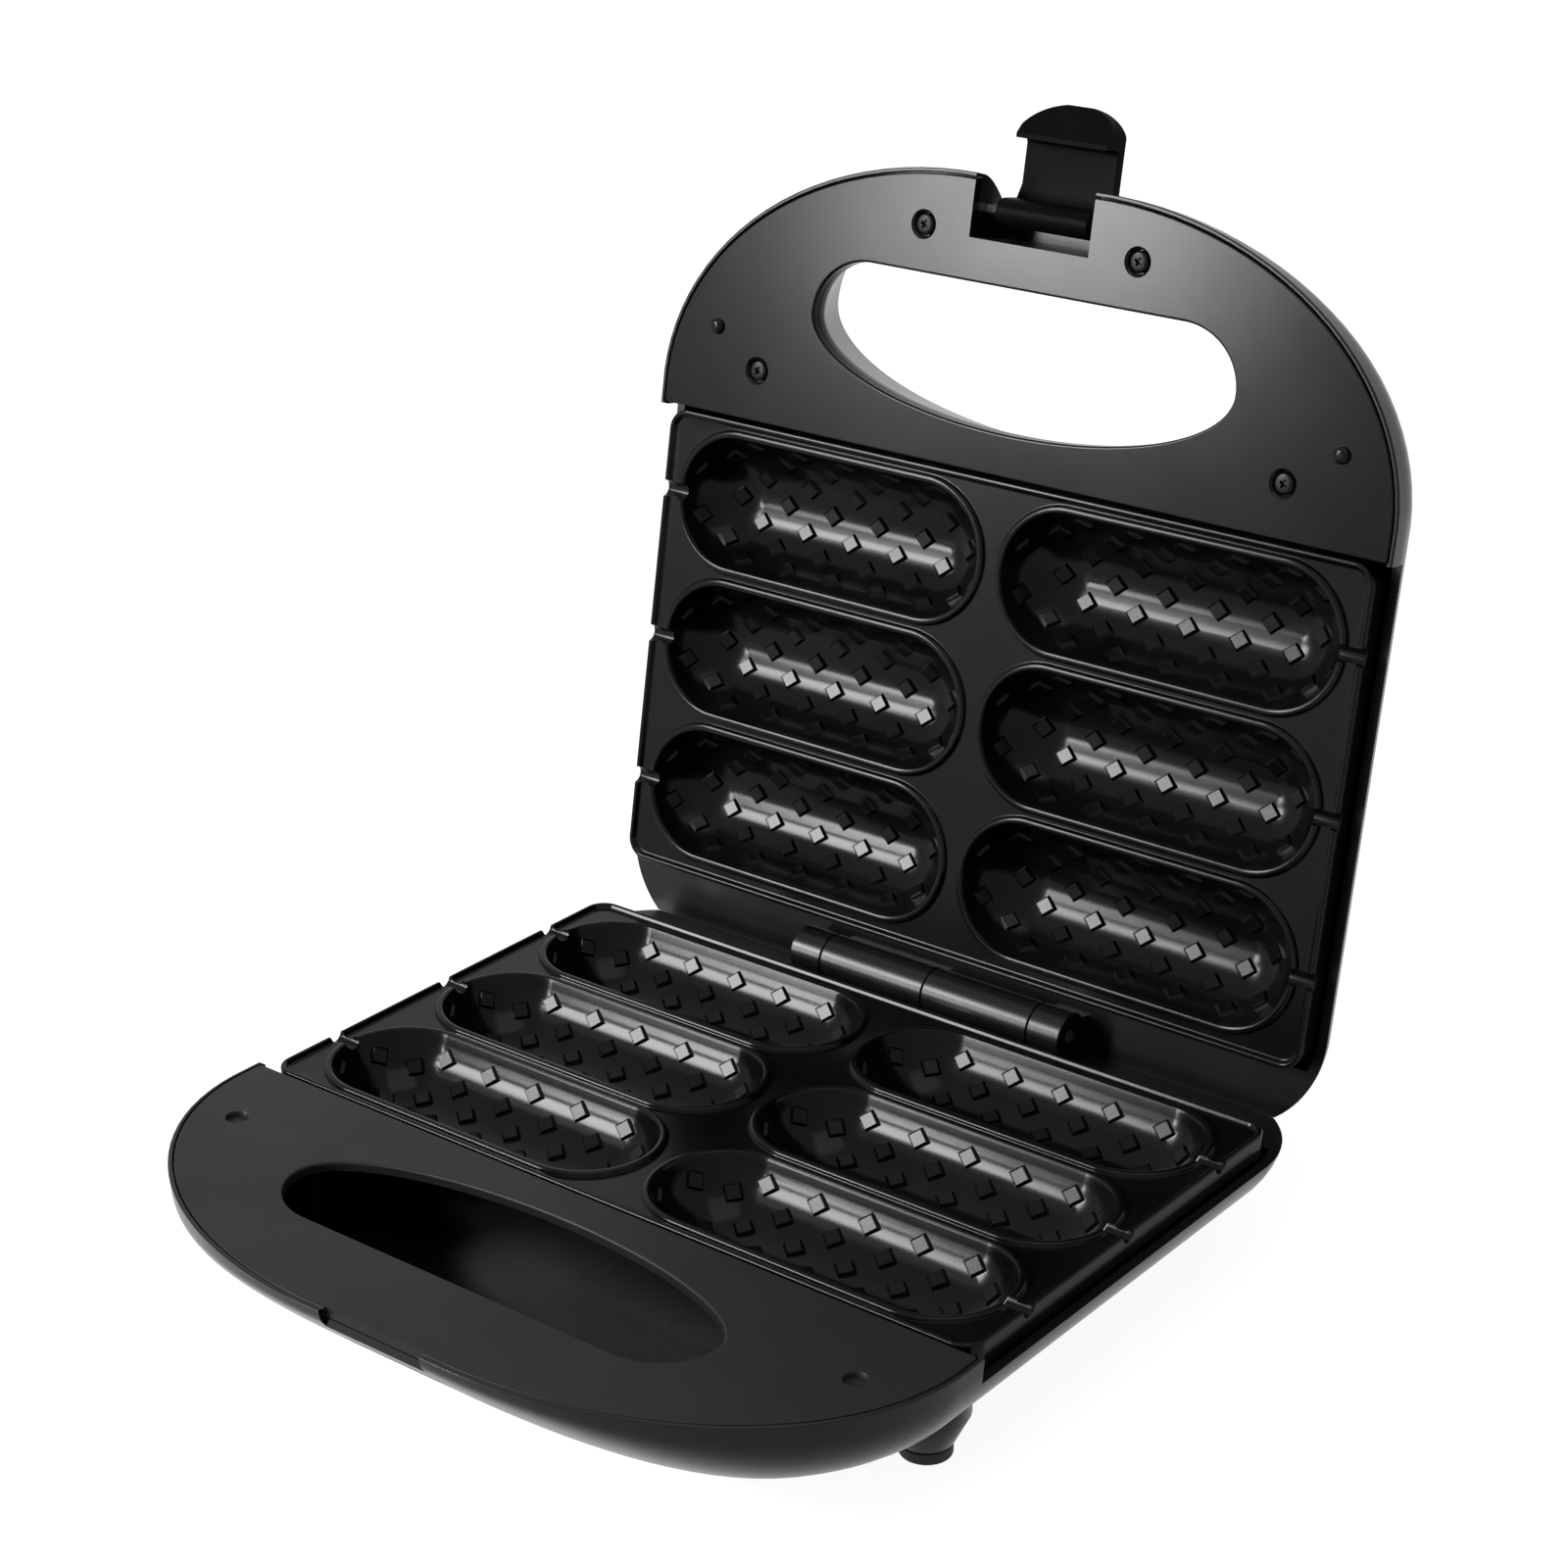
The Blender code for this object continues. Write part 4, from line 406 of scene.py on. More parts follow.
def feed(tree, node, **inputs):
    """Sets inputs of a node, or links those given as another node's output."""
    for name, value in inputs.items():
        socket = node.inputs[name.replace("_", " ")]
        if isinstance(value, bpy.types.NodeSocket):
            tree.links.new(value, socket)
        else:
            socket.default_value = value
    return node.outputs[0]


def noise(tree, coordinates, scale, detail=3.0, roughness=0.5):
    node = tree.nodes.new("ShaderNodeTexNoise")
    return feed(tree, node, Vector=coordinates, Scale=scale, Detail=detail, Roughness=roughness)


def spread(tree, value, low, high, start=0.3, end=0.7):
    """A value spread between two limits."""
    node = tree.nodes.new("ShaderNodeMapRange")
    return feed(tree, node, Value=value, From_Min=start, From_Max=end, To_Min=low, To_Max=high)


def mixed(tree, factor, first, second):
    node = tree.nodes.new("ShaderNodeMix")
    node.data_type = "RGBA"
    feed(tree, node, Factor=factor, A=(*first, 1.0), B=(*second, 1.0))
    return node.outputs["Result"]


def bump(tree, height, strength, distance, **below):
    node = tree.nodes.new("ShaderNodeBump")
    return feed(tree, node, Height=height, Strength=strength, Distance=distance, **below)


def surface(name, tint, rough, metallic=0.0, specular=0.5, grain=(1400.0, 0.06), cloud=0.25, ripple=None):
    """A mould or coating finish: a colour that drifts a little, fine grain and an uneven sheen."""
    made, tree, shader = new_material(name)
    if tree is None:
        return made
    place = tree.nodes.new("ShaderNodeTexCoord").outputs["Object"]
    drift = spread(tree, noise(tree, place, 38.0, 4.0, 0.55), 0.0, 1.0)
    darker = [channel * (1 - cloud) for channel in tint]
    lighter = [min(channel * (1 + cloud), 1.0) for channel in tint]
    smear = noise(tree, place, 12.0, 5.0, 0.6)
    normal = bump(tree, noise(tree, place, grain[0], 2.0, 0.6), grain[1], 0.0002)
    if ripple:
        normal = bump(tree, noise(tree, place, ripple[0], 2.0), ripple[1], 0.001, Normal=normal)
    feed(tree, shader, Base_Color=mixed(tree, drift, darker, lighter), Normal=normal, Metallic=metallic,
         Roughness=spread(tree, smear, rough * 0.88, rough * 1.14), Specular_IOR_Level=specular)
    return made


FINISHES = {
    "shell": ("shell_plastic", "satin black shell plastic", 0.26,
              {"specular": 0.16, "grain": (1800.0, 0.05), "ripple": (55.0, 0.02)}),
    # The latch is the shell's plastic with a darker tint, which is painted shade
    "latch": ("shell_plastic", "matt black latch plastic", 0.40,
              {"specular": 0.012, "grain": (1800.0, 0.04)}),
    "lid_cover": ("cover_plastic", "satin black cover plastic", 0.165,
                  {"specular": 0.085, "grain": (1600.0, 0.03)}),
    "base_cover": ("cover_plastic", "dark grey cover plastic", 0.48,
                   {"specular": 0.16, "grain": (1500.0, 0.10)}),
    "coating": ("plate_coating", "black non-stick coating", None,
                {"specular": 0.09, "grain": (2600.0, 0.04), "cloud": 0.4, "ripple": (90.0, 0.02)}),
    "steel": ("bare_steel", "bare steel", 0.28, {"metallic": 1.0, "grain": (2200.0, 0.08), "cloud": 0.08}),
    "dark_steel": ("bare_steel", "blackened steel", 0.34,
                   {"metallic": 1.0, "grain": (2000.0, 0.08), "cloud": 0.15}),
    "rubber": ("rubber", "black rubber", 0.62, {"specular": 0.30, "grain": (1200.0, 0.18)}),
}


def look(key):
    """The finish that goes with one of the colour properties, and its slot."""
    slot, name, rough, more = FINISHES[key]
    if rough is None:
        rough = 1 - settings("finishes").gloss
    return surface(name, getattr(settings("finishes"), key), rough, **more), slot


def lens(name, tint):
    """A clear coloured lens with a faintly ribbed inside."""
    made, tree, shader = new_material(name)
    if tree is None:
        return made
    place = tree.nodes.new("ShaderNodeTexCoord").outputs["Object"]
    cloud = noise(tree, place, 220.0, 2.0)
    deep = [channel * 0.55 for channel in tint]
    feed(tree, shader, Base_Color=mixed(tree, spread(tree, cloud, 0.0, 1.0), deep, tint),
         Roughness=spread(tree, cloud, 0.10, 0.18),
         Normal=bump(tree, noise(tree, place, 900.0), 0.05, 0.0002),
         Transmission_Weight=0.35, Coat_Weight=0.5)
    return made


# Cooking plates

def mould_blank():
    """One mould as a tub of its own, with its bead and its diamond pads."""
    plate = settings("plate")
    radius, rise, half = plate.mould_radius, plate.mould_rise, plate.mould_straight / 2
    rim = sqrt(radius ** 2 - rise ** 2)
    stations = []
    last = acos((rise + 0.9 * MM) / radius)
    for step in range(15):
        angle = last * (step + 0.5) / 14.5
        stations.append((radius * sin(angle), radius * cos(angle) - rise))
    for grow, depth in ((0.05, 0.50), (0.20, 0.20), (0.45, 0.05), (0.80, 0.0), (1.20, 0.0), (1.60, 0.08),
                        (1.85, 0.28), (2.00, 0.60), (2.08, 0.95), (2.25, 1.15), (2.60, 1.22), (2.62, 2.2)):
        stations.append((rim + grow * MM, depth * MM))
    outer = radius + plate.sheet
    first = asin(min((rim + 2.4 * MM) / outer, 1.0))
    for step in range(9):
        angle = first * (1 - step / 8.5)
        stations.append((outer * sin(angle), max(outer * cos(angle) - rise, 2.6 * MM)))
    outlines = [(stadium(half, width), depth) for width, depth in stations]
    tub = solid("mould_tub", lofted(outlines, MOULD_STEPS))
    join(tub, pads(radius, rise, half, plate.pad_height))
    mesh = tub.data
    bpy.data.objects.remove(tub)
    return mesh


def pads(radius, rise, half, height):
    """The raised diamond pads of one mould."""
    bm = bmesh.new()
    pitch = 15.4 * MM
    rows = ((0.0, (0.5, 1.5, 2.5)), (12.6 * MM, (0.5, 1.5, 2.5)), (6.3 * MM, (0.0, 1.0, 2.0, 3.0)),
            (18.9 * MM, (0.0, 1.0, 2.0)))
    for arc_place, columns in rows:
        for side in ((1, -1) if arc_place else (1,)):
            for column in columns:
                for end in ((1, -1) if column else (1,)):
                    place = pad_place(radius, rise, half, end * column * pitch, side * arc_place)
                    add_pad(bm, place, height)
    return bm


def pad_place(radius, rise, half, across, arc_place):
    """Where a pad stands on the mould's straight part or round end."""
    along = radius * sin(arc_place / radius)
    out = Matrix.Translation((0, 0, radius))
    if abs(across) <= half:
        return Matrix.Translation((across, 0, -rise)) @ Matrix.Rotation(-arc_place / radius, 4, "X") @ out
    end = copysign(half, across)
    beyond = across - end
    azimuth = atan2(along, beyond)
    tilt = asin(min(hypot(beyond, along) / radius, 0.98))
    return (Matrix.Translation((end, 0, -rise)) @ Matrix.Rotation(azimuth, 4, "Z")
            @ Matrix.Rotation(tilt, 4, "Y") @ Matrix.Rotation(-azimuth, 4, "Z") @ out)


def add_pad(bm, place, height):
    """A low diamond with sloping walls and a softened top edge."""
    edges = []
    for wide, long, depth in ((3.75, 3.45, 0.6 * MM), (3.65, 3.35, 0.0), (2.85, 2.60, -0.85 * height),
                              (2.55, 2.32, -height)):
        made = bmesh.ops.create_circle(bm, segments=4, radius=1.0)["verts"]
        bmesh.ops.scale(bm, vec=(wide * MM, long * MM, 1.0), verts=made)
        bmesh.ops.translate(bm, vec=(0, 0, depth), verts=made)
        bmesh.ops.transform(bm, matrix=place, verts=made)
        edges.append(edges_of(made))
    loft(bm, edges)


def plate_casting():
    """A cooking plate in its half's own frame."""
    plate = settings("plate")
    half, rear, front, corner = plate.half_width, plate.rear, plate.front, plate.corner
    stations = ((2.5, 3.7), (2.5, 7.5), (0.3, 7.5), (0.0, 7.2), (0.0, 0.7), (0.06, 0.42), (0.2, 0.2),
                (0.42, 0.06), (0.7, 0.0), (1.0, 0.0), (1.25, 0.08), (1.45, 0.3), (1.7, 0.8), (1.9, 1.05),
                (2.3, 1.2))
    outlines = []
    for inset, depth in stations:
        inset = inset * MM
        quarters = rectangle(half - inset, rear + inset, front - inset, max(corner - inset, SMALL_CORNER))
        outlines.append((quarters, depth * MM))
    casting = solid("plate_casting", lofted(outlines, 48))

    mould = mould_blank()
    centres = [(side * plate.column, plate.first_row + row * plate.pitch)
               for side in (-1, 1) for row in range(3)]
    rim = sqrt(plate.mould_radius ** 2 - plate.mould_rise ** 2)
    holes = bmesh.new()
    for column, row in centres:
        outline = stadium(plate.mould_straight / 2, rim + 1.0 * MM, column, row)
        loft(holes, [ring(holes, outline, depth, MOULD_STEPS) for depth in (-OVERRUN, plate.skirt)])
    cut(casting, holes)
    tubs = bmesh.new()
    for column, row in centres:
        start = len(tubs.verts)
        tubs.from_mesh(mould)
        tubs.verts.ensure_lookup_table()
        bmesh.ops.translate(tubs, vec=(column, row, 0.0), verts=tubs.verts[start:])
    join(casting, tubs)
    bpy.data.meshes.remove(mould)

    grooves = bmesh.new()
    inner = plate.column + plate.mould_straight / 2 + rim / 2
    for side in (-1, 1):
        for row in range(3):
            place = Matrix.Translation((0, plate.first_row + row * plate.pitch, 0)) @ ALONG_U
            rings = []
            for across, radius in ((inner, 0.75), (inner + 8 * MM, 1.0), (half - 0.5 * MM, 1.0),
                                   (half, 1.12), (half + OVERRUN, 1.12)):
                made = bmesh.ops.create_circle(grooves, segments=28, radius=radius * plate.groove)["verts"]
                bmesh.ops.translate(grooves, vec=(0, 0, side * across), verts=made)
                bmesh.ops.transform(grooves, matrix=place, verts=made)
                rings.append(edges_of(made))
            loft(grooves, rings)
    cut(casting, grooves)
    return casting


# Shells

def edge_stations(offset, top):
    """Inset and depth of the shell's skin, moved inwards by an offset."""
    shell = settings("shell")
    drop = shell.depth - shell.side_depth
    stations = [(offset, top), (offset + GAP, shell.side_depth)]
    steps = 18
    for step in range(1, steps + 1):
        angle = pi / 2 * step / steps
        side = cos(angle) / shell.edge_run
        down = sin(angle) / drop
        slant = hypot(side, down)
        inset = GAP + shell.edge_run * (1 - cos(angle)) + offset * side / slant
        stations.append((inset, shell.side_depth + drop * sin(angle) - offset * down / slant))
    return stations


def bowl(offset, top, rise, rounding=0.0):
    """The shell's outer or inner form as a solid."""
    shell = settings("shell")
    steps = settings("fittings").steps
    stations = edge_stations(offset, top + rounding)
    if rounding:
        lip = [(offset + rounding * (1 - sin(angle)), top + rounding * (1 - cos(angle)))
               for angle in (0.0, pi / 8, pi / 4, 3 * pi / 8)]
        stations = lip + stations
    bm = lofted([(shell_quarters(inset), depth) for inset, depth in stations], steps)
    floor_front = shell.centre + shell.reach - GAP - shell.edge_run
    for vert in bm.verts:
        beyond = max(vert.co.y - floor_front, 0.0) / shell.edge_run
        vert.co.z *= 1 - rise * beyond ** 2
    return bm


def flared_opening(grow, top, bottom):
    """The opening as a solid, straight at first and then flaring towards the outside."""
    shell, handle = settings("shell"), settings("handle")
    start = handle.flare_start
    slope = handle.flare / (shell.depth - start)
    stations = ((top, 0.0), (start - 1.0 * MM, 0.0), (start - 0.5 * MM, 0.07 * MM), (start, 0.17 * MM),
                (start + 0.5 * MM, 0.33 * MM), (start + 1.0 * MM, slope * MM),
                (bottom, slope * (bottom - start)))
    outlines = [(opening_quarters(grow + more, grow + INWARD_FLARE * more), depth)
                for depth, more in stations]
    return lofted(outlines, OPENING_STEPS)


def profile_bar(points, half, start=None):
    """A straight-sided bar along u from a closed profile of (v, depth) points."""
    bm = bmesh.new()
    low = -half if start is None else start
    verts = [bm.verts.new((low, v, depth)) for v, depth in points]
    made = bm.faces.new(verts)
    grown = bmesh.ops.extrude_face_region(bm, geom=[made])["geom"]
    moved = [item for item in grown if isinstance(item, bmesh.types.BMVert)]
    bmesh.ops.translate(bm, vec=(half - low, 0, 0), verts=moved)
    return bm


def rear_profile(offset):
    """The rear deck in section: level, then sloping clear of the swing."""
    shell = settings("shell")
    slope = tan(OPEN_ANGLE / 2 + radians(0.5))
    slant = hypot(1, slope)
    level = HALF_GAP + shell.rim_step
    turn = (level + offset) / slope - offset * slant / slope
    far = shell.rear + OVERRUN
    return (-turn, level + offset - HALF_GAP), (-far, far * slope + offset * slant - HALF_GAP)


def cover_screw_places():
    return [(side * u * MM, v * MM) for u, v in ((32.7, 200.9), (81.7, 154.2)) for side in (-1, 1)]


def foot_places():
    return [(side * u * MM, v * MM) for u, v in ((93.0, 132.0), (80.0, 12.0)) for side in (-1, 1)]


def knuckle(start, end):
    """A hinge knuckle along the axis, with softened ends."""
    barrel, edge = settings("fittings").barrel, 0.25 * MM
    stations = ((start, barrel - edge), (start + edge, barrel), (end - edge, barrel), (end, barrel - edge))
    return turned(stations, steps=48, place=AXIS)


def shell_moulding(prefix):
    """One shell in its half's own frame."""
    shell, handle, fittings, plate = map(settings, ("shell", "handle", "fittings", "plate"))
    is_base = prefix == "base"
    floor = shell.depth - shell.wall
    below = floor + OVERRUN
    wide = shell.half_width + OVERRUN
    front = shell.centre + shell.reach + OVERRUN
    under_cover = handle.thickness + GAP
    rise = shell.base_rise if is_base else shell.lid_rise
    piece = solid(prefix + "_shell_moulding", bowl(0.0, 0.0, rise, shell.edge_round))
    if is_base:
        ground = shell.depth + fittings.foot_height - 3.3 * MM
        for column, row in foot_places():
            join(piece, turned(((shell.side_depth + shell.rim_step, 10.5 * MM), (floor, 10.5 * MM),
                                (ground - 0.5 * MM, fittings.foot_radius + 0.4 * MM),
                                (ground, fittings.foot_radius - 0.1 * MM)), column, row))
        join(piece, gland_bar(7.0 * MM, 10.5 * MM, plate.rear))

    hollow = solid("hollow", bowl(shell.wall, -OVERRUN, rise))
    keeps = [block(wide, handle.rear + 1.0 * MM, handle.rear + 3.0 * MM, -OVERRUN * 2, below)]
    boss_top = 10.3 * MM if is_base else 4.3 * MM
    keeps += [turned(((boss_top, BOSS), (below, BOSS)), *place) for place in cover_screw_places()]
    if is_base:
        keeps.append(block(17.5 * MM, 203.3 * MM, front, under_cover, below))
    else:
        keeps.append(flared_opening(handle.opening_wall, under_cover, below))
        keeps.append(block(21.2 * MM, 196.7 * MM, front, under_cover, below))
    turn, far = rear_profile(shell.wall)
    wall, top = 8.5 * MM, -2 * OVERRUN
    keeps.append(profile_bar(((wall, top), (wall, turn[1]), turn, far, (far[0], top)), wide))
    for bm in keeps:
        cut(hollow, bm)
    cut(piece, taken(hollow))

    rear = handle.rear - 0.5 * MM
    rebate = ((0.85, -2.0), (0.85, 0.0), (0.95, 0.04), (1.1, 0.14), (1.2, 0.35), (1.2, 2.8))
    cut(piece, lofted([(half_oval(inset * MM, rear, SMALL_CORNER), depth * MM) for inset, depth in rebate],
                      fittings.steps))
    turn, far = rear_profile(0.0)
    cut(piece, profile_bar(((rear, top), (rear, turn[1]), turn, far, (far[0], top)), wide))

    web, web_depth = 4.5 * MM, shell.rim_step + 1.2 * MM
    inner = fittings.barrel_half - fittings.barrel_short
    for start, end in ((-fittings.barrel_half, -inner - GAP / 2), (GAP / 2, inner - GAP / 2)):
        join(piece, profile_bar(((-web, 0.0), (web, 0.0), (web, web_depth), (-web, web_depth)), end, start))
        join(piece, knuckle(start, end))
    pin = fittings.pin + GAP
    cut(piece, turned(((-0.05, pin), (0.05, pin)), place=AXIS))
    middle_row = plate.first_row + plate.pitch
    if is_base:
        finish_base_shell(piece, middle_row)
    else:
        finish_lid_shell(piece, middle_row)
    return piece


def gland_bar(radius, rear, front):
    """A round bar along v at the cord's place, from behind the hinge axis to the front."""
    return turned(((-front, radius), (rear, radius)), steps=40, place=CORD_WAY)


def finish_base_shell(piece, middle_row):
    """Bores, latch catch and deck bosses, which only the base has."""
    shell, fittings = settings("shell"), settings("fittings")
    cut(piece, turned(((19.7 * MM, SCREW_BORE), (shell.depth - 4 * MM, SCREW_BORE),
                       (shell.depth - 4 * MM, 3.7 * MM), (shell.depth - 0.4 * MM, 3.7 * MM),
                       (shell.depth + OVERRUN, 3.7 * MM + OVERRUN + 0.4 * MM)), 0.0, middle_row))
    pad_top = shell.depth + fittings.foot_height - 3 * MM
    for place in foot_places():
        bore(piece, 3.3 * MM, pad_top - 4.8 * MM, pad_top + OVERRUN, *place)
    cut(piece, gland_bar(5.3 * MM, 12.5 * MM, 11.5 * MM))
    front = shell.centre + shell.reach + OVERRUN
    cut(piece, block(*CATCH, front, -OVERRUN, shell.depth + OVERRUN))
    cut(piece, block(15.2 * MM, 205.3 * MM, front + OVERRUN, 10.2 * MM, shell.depth + 2 * OVERRUN))
    for place in cover_screw_places():
        head = screw_seat(*place)
        cut(piece, turned(((8 * MM, SCREW_BORE), (head, SCREW_BORE), (head, 3.1 * MM),
                           (shell.depth + OVERRUN, 3.1 * MM)), *place))
    for side in (-1, 1):
        column, row = side * 51 * MM, 3.5 * MM
        top = shell.rim_step - 1.2 * MM
        join(piece, turned(((top, 3.7 * MM), (top + 0.1 * MM, 3.9 * MM), (top + 0.35 * MM, 4.0 * MM),
                            (shell.rim_step + 1.2 * MM, 4.0 * MM)), column, row, 40))
        cut(piece, turned(((top - OVERRUN, 2.4 * MM), (top, 2.4 * MM), (top + 0.2 * MM, 2.2 * MM),
                           (shell.rim_step, 2.2 * MM)), column, row, 40))


def screw_seat(column, row):
    """Depth at which a base cover screw's head seats, from the solid that it replaces."""
    number = 1 + cover_screw_places().index((column, row))
    low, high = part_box("base_cover_screw_%d" % number)
    return HINGE.z - HALF_GAP - low.z - HEAD_HEIGHT


def finish_lid_shell(piece, middle_row):
    """The opening, latch notch, bores and lamp holes, which only the lid has."""
    shell = settings("shell")
    cut(piece, flared_opening(0.0, -OVERRUN, shell.depth + OVERRUN))
    cut(piece, block(*NOTCH, shell.centre + shell.reach + OVERRUN, -OVERRUN, 16.5 * MM))
    cut(piece, turned(mm((-23.2, 1.8), (23.2, 1.8)), place=latch_place() @ ALONG_U))
    for place in cover_screw_places():
        bore(piece, SCREW_BORE, 2 * MM, 11.6 * MM, *place)
    for side in (-1, 1):
        bore(piece, 3.3 * MM, shell.depth - shell.wall - OVERRUN, shell.depth + OVERRUN,
             side * LAMP_PLACE[0], LAMP_PLACE[1])
    cut(piece, turned(((shell.depth - 1.5 * MM, 6.5 * MM), (shell.depth - 0.3 * MM, 6.5 * MM),
                       (shell.depth + OVERRUN, 6.5 * MM + OVERRUN)), 0.0, middle_row, 48))


def latch_place():
    fittings = settings("fittings")
    return Matrix.Translation((0, fittings.latch_place, fittings.latch_depth))


# Operators

class CORNDOG_OT_plates(Operator):
    """Makes the two non-stick cooking plates"""
    bl_idname = "corndog.plates"
    bl_label = "Cooking plates"

    def execute(self, context):
        first = plate_casting()
        second = bpy.data.objects.new("lid_plate_casting", first.data.copy())
        context.collection.objects.link(second)
        first.name = "base_plate_casting"
        finish_piece(first, "base", "base_plate", look("coating"))
        finish_piece(second, "lid", "lid_plate", look("coating"))
        return {"FINISHED"}


class CORNDOG_OT_shells(Operator):
    """Makes the two plastic shells with their hinge knuckles"""
    bl_idname = "corndog.shells"
    bl_label = "Shells"

    def execute(self, context):
        for prefix in HALF_NAMES:
            finish_piece(shell_moulding(prefix), prefix, prefix + "_shell", look("shell"))
        return {"FINISHED"}


class CORNDOG_OT_covers(Operator):
    """Makes the two flat handle covers"""
    bl_idname = "corndog.covers"
    bl_label = "Handle covers"

    def execute(self, context):
        for prefix in HALF_NAMES:
            finish = look(prefix + "_cover")
            finish_piece(self.cover(prefix), prefix, prefix + "_handle_cover", finish)
        return {"FINISHED"}

    def cover(self, prefix):
        shell, handle, fittings = map(settings, ("shell", "handle", "fittings"))
        rim = handle.rim + GAP
        edge = ((0.45, 0.0), (0.22, 0.06), (0.06, 0.22), (0.0, 0.45), (0.0, handle.thickness / MM))
        outlines = [(half_oval(rim + inset * MM, handle.rear + inset * MM, SMALL_CORNER), depth * MM)
                    for inset, depth in edge]
        piece = solid(prefix + "_handle_cover_panel", lofted(outlines, fittings.steps))
        pad_depth = 10 * MM if prefix == "base" else 4 * MM
        for place in cover_screw_places():
            join(piece, turned(((handle.thickness / 2, BOSS), (pad_depth, BOSS)), *place))
        flare = handle.opening_round
        outlines = [(opening_quarters(flare), -OVERRUN)]
        outlines += [(opening_quarters(flare * (1 - sin(angle))), flare * (1 - cos(angle)))
                     for angle in quarter_turn(4)]
        outlines.append((opening_quarters(0.0), handle.thickness + OVERRUN))
        cut(piece, lofted(outlines, OPENING_STEPS))
        front = shell.centre + shell.reach + OVERRUN
        if prefix == "base":
            self.finish_base(piece, handle.thickness, front)
        else:
            self.finish_lid(piece, front)
        return piece

    def finish_base(self, piece, thickness, front):
        """Screw bores, the sockets for the lid's nubs and the way for the latch."""
        for place in cover_screw_places():
            bore(piece, SCREW_BORE, thickness, 12 * MM, *place)
        socket = [(-OVERRUN, 3.05 * MM)] + mm((0.0, 3.05), (0.25, 2.85), (1.2, 2.6))
        for side in (-1, 1):
            cut(piece, turned(socket, side * NUB_PLACE[0], NUB_PLACE[1]))
        cut(piece, block(*CATCH, front, -OVERRUN, thickness + OVERRUN))

    def finish_lid(self, piece, front):
        """The latch's notch, the sunk screw holes and the nubs."""
        cut(piece, block(*NOTCH, front, -OVERRUN, 6 * MM))
        sunk = [(-OVERRUN, 3.9 * MM)]
        sunk += mm((0.0, 3.9), (0.3, 3.5), (0.9, 3.1), (2.2, 3.1), (2.2, 1.7), (6, 1.7))
        for place in cover_screw_places():
            cut(piece, turned(sunk, *place))
        nub = mm((-1.5, 0.6), (-1.45, 1.1), (-1.25, 1.6), (-0.8, 2.05), (-0.2, 2.2), (0.6, 2.25))
        for side in (-1, 1):
            join(piece, turned(nub, side * NUB_PLACE[0], NUB_PLACE[1]))


class CORNDOG_OT_screws(Operator):
    """Makes the cover screws and the two centre screws"""
    bl_idname = "corndog.screws"
    bl_label = "Screws"

    def execute(self, context):
        for number, (column, row) in enumerate(cover_screw_places(), 1):
            face = screw_seat(column, row) + HEAD_HEIGHT
            self.screw("base_cover_fixing_%d" % number, "base", "base_cover_screw_%d" % number,
                       (column, row, face, -1), face - 2.8 * MM, SCREW_HEAD)
            self.screw("lid_cover_fixing_%d" % number, "lid", "lid_cover_screw_%d" % number,
                       (column, row, 0.3 * MM, 1), 11 * MM, SCREW_HEAD)
        middle = settings("plate").first_row + settings("plate").pitch
        outer = settings("shell").depth - 1.7 * MM
        for prefix in HALF_NAMES:
            self.screw(prefix + "_centre_fixing", prefix, prefix + "_centre_screw", (0.0, middle, outer, -1),
                       outer - 8 * MM, 3.4 * MM)
        return {"FINISHED"}

    def screw(self, name, prefix, node, place, shank, head):
        """A pan head with a cross recess, facing along a half's depth one way or the other."""
        column, row, face, way = place
        stations = ((0.0, 0.30), (0.02, 0.62), (0.10, 0.82), (0.28, 0.94), (0.50, 0.99), (0.75, 1.0),
                    (1.6, 1.0),
                    (1.6, 0.5), (shank / MM, 0.5))
        bm = turned([(depth * MM, radius * head) for depth, radius in stations], steps=32)
        piece = solid(name, bm)
        for turn in (0, 1):
            wide = Matrix.Rotation(radians(25) + turn * pi / 2, 4, "Z")
            bm = block(0.62 * head, -0.14 * head, 0.14 * head, -1.0 * MM, 1.0 * MM)
            for v in bm.verts:
                if v.co.z > 0:
                    v.co.x *= 0.35
            bmesh.ops.transform(bm, matrix=wide, verts=bm.verts)
            cut(piece, bm)
        turn = Matrix.Identity(4) if way > 0 else TURNED
        spot = Matrix.Translation((column, row, face)) @ turn
        finish_piece(piece, prefix, node, look("dark_steel"), spot)


